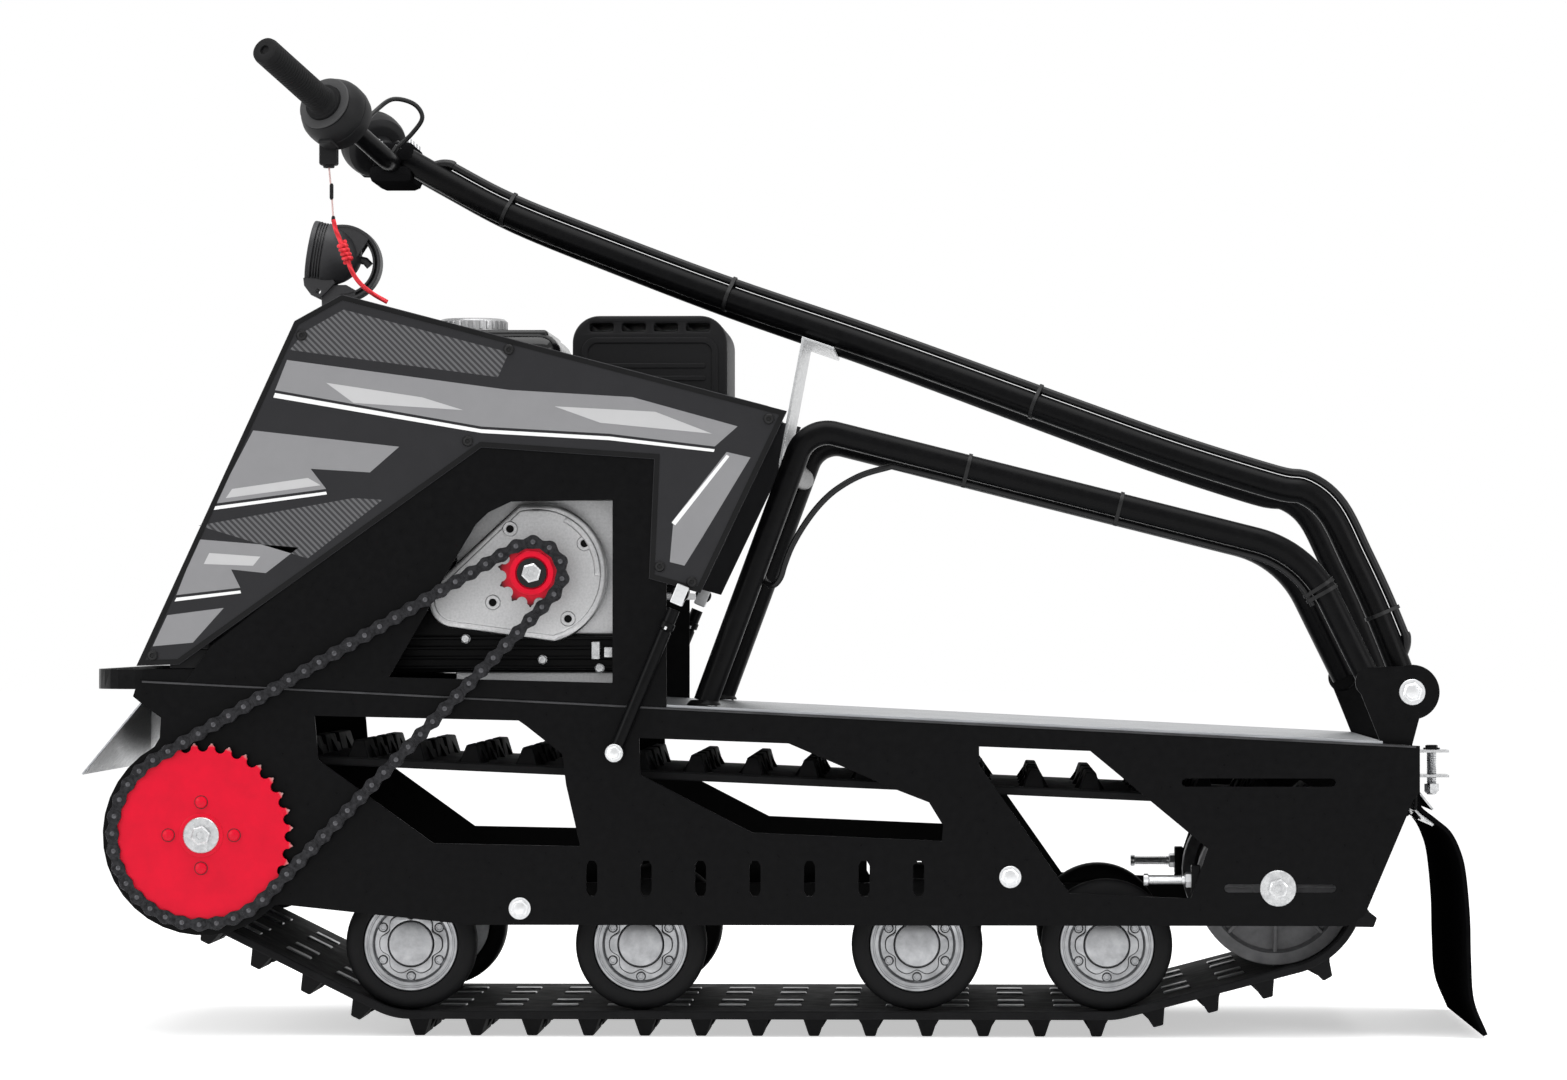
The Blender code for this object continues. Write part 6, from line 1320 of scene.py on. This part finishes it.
# %% Braces, pivot nuts and cross shafts
def domed_nut(place, axis, washer, across, height):
    """A round washer with a hex nut and a domed end on it."""
    end = [(0, -0.4), (across * 0.40, 0), (across * 0.38, 0.6), (across * 0.28, 1.2), (0, 1.5)]
    return [*hex_bolt(place, axis, across, washer, height),
            turned(end, place + axis * (1.6 + height), axis, 28)]


BRACE_Y, SIDE_NUT_Y, PIVOT_NUT_Y = 291, 280.3, 248.8
SHAFT_ENDS = [(-288, 142), (247, 177)]
sleeves, blocks, brace_nuts, side_nuts, pivots = [], [], [], [], []
for side, sign in SIDES:
    out = Y * sign
    foot, top = Vector((-184.1, sign * BRACE_Y, 311.9)), Vector((-112.1, sign * BRACE_Y, 485.7))
    along = (top - foot).normalized()
    reach = (top - foot).length
    # Along the strut, places are shares of its length once the foot's neck is past.
    strut = [(7.2, 0.76), (6, 0.77), (6, 0.775), (8.4, 0.78), (8.4, 0.815), (7, 0.82), (7, 0.90), (0, 0.90)]
    strut = [(0, 2), (5.6, 2), (7.2, 4)] + [(radius, share * reach) for radius, share in strut]
    sleeves.append(turned(strut, foot, along, 32))
    for spot, eye in ((foot, 11), (top, 9.4)):
        rim = [(0, -6.8), (eye - 1, -6.8), (eye, -5.8)]
        sleeves.append(turned(rim + [(r, -h) for r, h in rim[::-1]], spot, Y, 32))
    axes = along, Y, Y.cross(along)
    blocks += [block((-13, -7.3, -7.2), (9.5, 7.3, 7.2), 1.6, stand(top, *axes)),
               block((-2.2, -8.6, -1.4), (1.6, 8.6, 1.4), 0.6, stand(foot + along * reach * 0.785, *axes))]
    brace_nuts += domed_nut(foot + out * 6.6, out, 9.8, 14, 4)
    for x, z in SHAFT_ENDS:
        end = Vector((x, sign * SIDE_NUT_Y, z))
        side_nuts += domed_nut(end, out, 12, 17, 5) + [turned(rod(8, -140, 0), end, out, 28)]
    end = Vector((PIVOT[0], sign * PIVOT_NUT_Y, PIVOT[1]))
    pivots += domed_nut(end, out, 14.2, 19, 5.4)
    pivots.append(turned([(0, -67.8), (5.6, -67.8), (6, -67.2), (6, 0), (0, 0)], end, out, 28))
place_piece("brace_sleeves", sleeves, powder_coat, ["brace_left", "brace_right"],
            smooth_angle=30)
bright_zinc = coat("bright_zinc_plate", ("#d4d5d6", "#bdbec0"), 5, 0.6, (0.28, 0.44), 0.34, metal=1.0)
place_piece("brace_end_blocks", blocks, bright_zinc)
place_piece("shaft_and_brace_nuts", brace_nuts + side_nuts, bright_zinc,
            ["suspension_shaft_front", "suspension_shaft_rear"], smooth_angle=30)
place_piece("pivot_nuts_and_bolts", pivots, bright_zinc,
            ["pivot_bolt_left", "pivot_bolt_right"], smooth_angle=30)
print("silver nuts:", len(SIDES) * (len(SHAFT_ENDS) + 2))

# %% [markdown]
# ## Hitch pin, flap and tensioners
# The hitch is two thin plates with a removable pin: a dark hex head above, a nut below. The
# flap is soft rubber sheet, 5 mm thick, clamped by two steel strips. The track's tension is set
# by a long screw on each side, in front of the rear axle.

# %% The hitch pin
PIN_X, HITCH_TOP, THREAD_PITCH = 726, 310, 2
head = hex_bolt((PIN_X, 0, HITCH_TOP + 0.3), Z, 13, 9.6, 3.2)
place_piece("hitch_pin_head", head, powder_coat)
thread = [(0, 0)]
for i in range(20):
    thread += [(5, -i * THREAD_PITCH), (5.6, -i * THREAD_PITCH - 0.9)]
thread += [(5, -40), (5.6, -41), (5.6, -50.6), (4.8, -51.2), (0, -51.2)]
pin = [turned(thread, (PIN_X, 0, HITCH_TOP + 0.4), Z, 28),
       *hex_bolt((PIN_X, 0, 271.2), -Z, 15, 0, 10.5)]
place_piece("hitch_pin_and_nut", pin, zinc_plate, ["hitch_pin"], smooth_angle=30)
print("hitch pin:", -thread[-1][1], "mm under its head")

# %% The flap and its strips
# The flap's spine in shares of its depth and height, from the clamp to the ground.
FLAP = [(0, 0), (0.02, 0.07), (0.25, 0.125), (0.46, 0.175), (0.6, 0.25), (0.68, 0.34), (0.74, 0.52),
        (0.755, 0.69), (0.8, 0.86), (1, 1)]
FLAP_DEPTH, FLAP_DROP, FLAP_WIDTH, STRIP_WIDTH = 73.5, 268, 500, 470
spine = smooth_line([(691.8 + u * FLAP_DEPTH, 0, 271.5 - v * FLAP_DROP) for u, v in FLAP], 6)


def sheet_outline(points, low, high):
    """The closed outline of a sheet between two offsets from a spine in the side view."""
    return [(p.x, p.z) for p in beside(points, -low) + beside(points, -high)[::-1]]


rubber_sheet = coat("cut_rubber_sheet", ("#0b0b0c", "#111112"), 18, 0.7, (0.55, 0.7), 0.6, 0.1, shine=0.0)
flap = plate([sheet_outline(spine, -2.5, 2.5)], 0, FLAP_WIDTH, 0.9)
place_piece("rubber_flap", [flap], rubber_sheet, ["flap"], smooth_angle=30)
lower_bend = [Vector((694.5, 0, 266)), Vector((708.5, 0, 248.5))]
strips = [plate([sheet_outline(spine[3:14], -6, -2.7)], 0, STRIP_WIDTH, 0.5),
          plate([sheet_outline(lower_bend, 0, 2.6)], 0, STRIP_WIDTH, 0.5)]
place_piece("flap_clamp_strips", strips, zinc_plate)
lean = (spine[9] - spine[6]).normalized()
face = Vector((lean.z, 0, -lean.x))
bolts = []
for y in (-215, -75, 75, 215):
    bolts += hex_bolt(spine[8] + Y * y + face * 6, face, 8, 6.4, 3.6)
place_piece("flap_bolts", bolts, powder_coat, smooth_angle=30)
print("flap:", round(metres_along(spine), 3), "m along its curve")

# %% The tensioners
SCREW_Y, SCREW_Z = 264, 173.7
screw = [(0, 0), (6.4, 0), (6.6, 0.8), (6.6, 4.6), (5.2, 5.4)]
screw += [(5.2 if i % 2 else 4.7, 6 + i * 1.1) for i in range(34)] + [(5, 46), (0, 46)]
blocks, screws = [], []
for side, sign in SIDES:
    low_y, high_y = sorted((sign * (SCREW_Y - 9), sign * 276.8))
    blocks.append(block((444, low_y, 158), (454, high_y, 190), 1.6))
    screws += [turned(screw, (392.5, sign * SCREW_Y, SCREW_Z), X, 28),
               *hex_bolt((444.2, sign * SCREW_Y, SCREW_Z), -X, 15, 0, 7)]
place_piece("tensioner_blocks", blocks, powder_coat, smooth_angle=30)
place_piece("tensioner_screws", screws, bright_zinc, smooth_angle=30)
print("tension screws:", len(blocks))

# %% [markdown]
# ## Sheet and cast pieces that keep their CAD shape
# Side plates, deck, cowl, bumper and block are already the right shape, so they stay as they
# are. A real sheet's edge is never knife sharp: it is deburred, and the powder or the mould
# leaves about half a millimetre of round. A bevel modifier gives that edge its thin highlight.

# %% Finish the kept CAD nodes
KEPT = {
    powder_coat: ["side_plate_left", "side_plate_right", "front_bumper", "rear_crossmember",
                  "inner_panel_left", "inner_panel_right", "suspension_rail_left", "suspension_rail_right"],
    die_cast: ["engine_block"],
    zinc_plate: ["stem_rest", "hitch_bracket"],
    cowl_abs: ["cowl_panel_left", "cowl_panel_right", "cowl_shell"],
    rolled_sheet: ["deck_plate", "snow_deflector"],
}
EDGE_ROUND = {"engine_block": 1.5, "front_bumper": 1.2}
for material, names in KEPT.items():
    for name in names:
        node = NODES[name]
        node.data.materials.clear()
        node.data.materials.append(material)
        node.modifiers.new("weld", "WELD").merge_threshold = 0.02 * MM
        bevel = node.modifiers.new("deburred_edge", "BEVEL")
        bevel.width = EDGE_ROUND.get(name, 0.5) * MM
        bevel.segments = 2
        bevel.limit_method = "ANGLE"
        bevel.angle_limit = math.radians(25)
        bevel.harden_normals = True
print("kept nodes:", sum(len(names) for names in KEPT.values()))

# %% [markdown]
# ## Plate edges and nose seals
# Along its top the side plate is folded over into a narrow lip. The lip's coat is a lighter grey,
# a painted highlight, so the lip shows as a thin light line. Where the cowl's lower corner
# meets the bumper, a foam rubber block on each side keeps the snow out.

# %% Add the plate lips and nose seals
# A lighter grey coat on the lip: a painted highlight along the plate's top edge.
lip_highlight_coat = coat("painted_highlight_coat", ("#3c3c3e", "#1c1c1e"), 40, 0.9, (0.3, 0.46), 0.36, shine=0.3)
# The plate's top edge falls in a straight line from its front corner to its rear one.
EDGE_FRONT, EDGE_REAR = (-706, 391), (692, 320)
fall = (EDGE_REAR[1] - EDGE_FRONT[1]) / (EDGE_REAR[0] - EDGE_FRONT[0])
ends = [(x, EDGE_FRONT[1] + fall * (x - EDGE_FRONT[0]) - 0.4) for x in (-702, 688)]
lip = ends + [(x, z - 2.2) for x, z in ends[::-1]]
lips, seals = [], []
for side, sign in SIDES:
    lips.append(plate([lip], sign * (PLATE_Y + 0.5), 1.6, 0.7))
    low_y, high_y = sorted((sign * 275.8, sign * 260))
    seals.append(block((-672, low_y, 403.4), (-629, high_y, 425), 2))
place_piece("side_plate_lips", lips, lip_highlight_coat)
place_piece("nose_seals", seals, tyre_rubber)
print("lip length:", round(math.dist(*ends)), "mm")

# %% [markdown]
# ## Floor, world and lamps
# A plain studio: a pale floor, a large soft lamp over the machine, one from each end, and a
# weak even world. Black paint shows its form only by what it mirrors, so the lamps are wide.
# The background is pure white to the camera and to mirrors, while the floor keeps the shadow.

# %% Floor and backdrop
FLOOR_HALF, FLOOR_DROP = 30.0, 0.4


def seen_directly(tree):
    """1 for rays from the camera, from mirrors and through glass, 0 for the light that falls on things."""
    path = add(tree, "ShaderNodeLightPath")
    seen = add(tree, "ShaderNodeMath", {"operation": "MAXIMUM"},
               {0: path.outputs["Is Camera Ray"], 1: path.outputs["Is Glossy Ray"]})
    return add(tree, "ShaderNodeMath", {"operation": "MAXIMUM"},
               {0: seen.outputs[0], 1: path.outputs["Is Transmission Ray"]}).outputs[0]


floor_mesh = bpy.data.meshes.new("studio_floor")
corners = [(x * FLOOR_HALF, y * FLOOR_HALF, 0) for x, y in ((-1, -1), (1, -1), (1, 1), (-1, 1))]
floor_mesh.from_pydata(corners, [], [(0, 1, 2, 3)])
floor = bpy.data.objects.new("studio_floor", floor_mesh)
floor.location.z = -FLOOR_DROP * MM
bpy.context.scene.collection.objects.link(floor)
floor_paint = bpy.data.materials.new("matt_floor_paint")
floor_paint.use_nodes = True
tree = floor_paint.node_tree
tree.nodes.clear()
# Far from the lamps the matt paint alone is grey, so the camera sees it half lit by itself.
glow = add(tree, "ShaderNodeMath", {"operation": "MULTIPLY", 1: 0.52}, {0: seen_directly(tree)})
lit = add(tree, "ShaderNodeBsdfDiffuse", {"Color": linear("#fafafa")})
self_lit = add(tree, "ShaderNodeEmission", {"Color": (1, 1, 1, 1)}, {"Strength": glow.outputs[0]})
both = add(tree, "ShaderNodeAddShader", {}, {0: lit.outputs[0], 1: self_lit.outputs[0]})
add(tree, "ShaderNodeOutputMaterial", {}, {"Surface": both.outputs[0]})
floor_mesh.materials.append(floor_paint)

world = bpy.context.scene.world or bpy.data.worlds.new("studio")
bpy.context.scene.world = world
world.use_nodes = True
tree = world.node_tree
tree.nodes.clear()
ambient = add(tree, "ShaderNodeBackground", {"Color": (1, 1, 1, 1), "Strength": 0.55})
backdrop = add(tree, "ShaderNodeBackground", {"Color": (1, 1, 1, 1), "Strength": 1.0})
choice = add(tree, "ShaderNodeMixShader", {},
             {0: seen_directly(tree), 1: ambient.outputs[0], 2: backdrop.outputs[0]})
add(tree, "ShaderNodeOutputWorld", {}, {"Surface": choice.outputs[0]})
print("floor half width:", FLOOR_HALF, "m")

# %% Lamps
# Each lamp is its place, what it looks at and its size, in metres, and its power in watts.
LAMPS = {
    "overhead_softbox": ((0.0, -0.6, 3.4), (0, 0, 0.4), (3.6, 2.4), 95),
    "front_softbox": ((-3.2, -2.6, 1.9), (-0.2, 0, 0.5), (2.0, 2.0), 48),
    "rear_softbox": ((3.4, -2.2, 1.7), (0.3, 0, 0.4), (2.0, 2.0), 40),
}
for name, (place, target, size, power) in LAMPS.items():
    light = bpy.data.lights.new(name, "AREA")
    light.shape = "RECTANGLE"
    light.size, light.size_y = size
    light.energy = power
    show(light, place, target)
bpy.context.scene.view_settings.view_transform = "Standard"
print("lamps:", len(LAMPS))
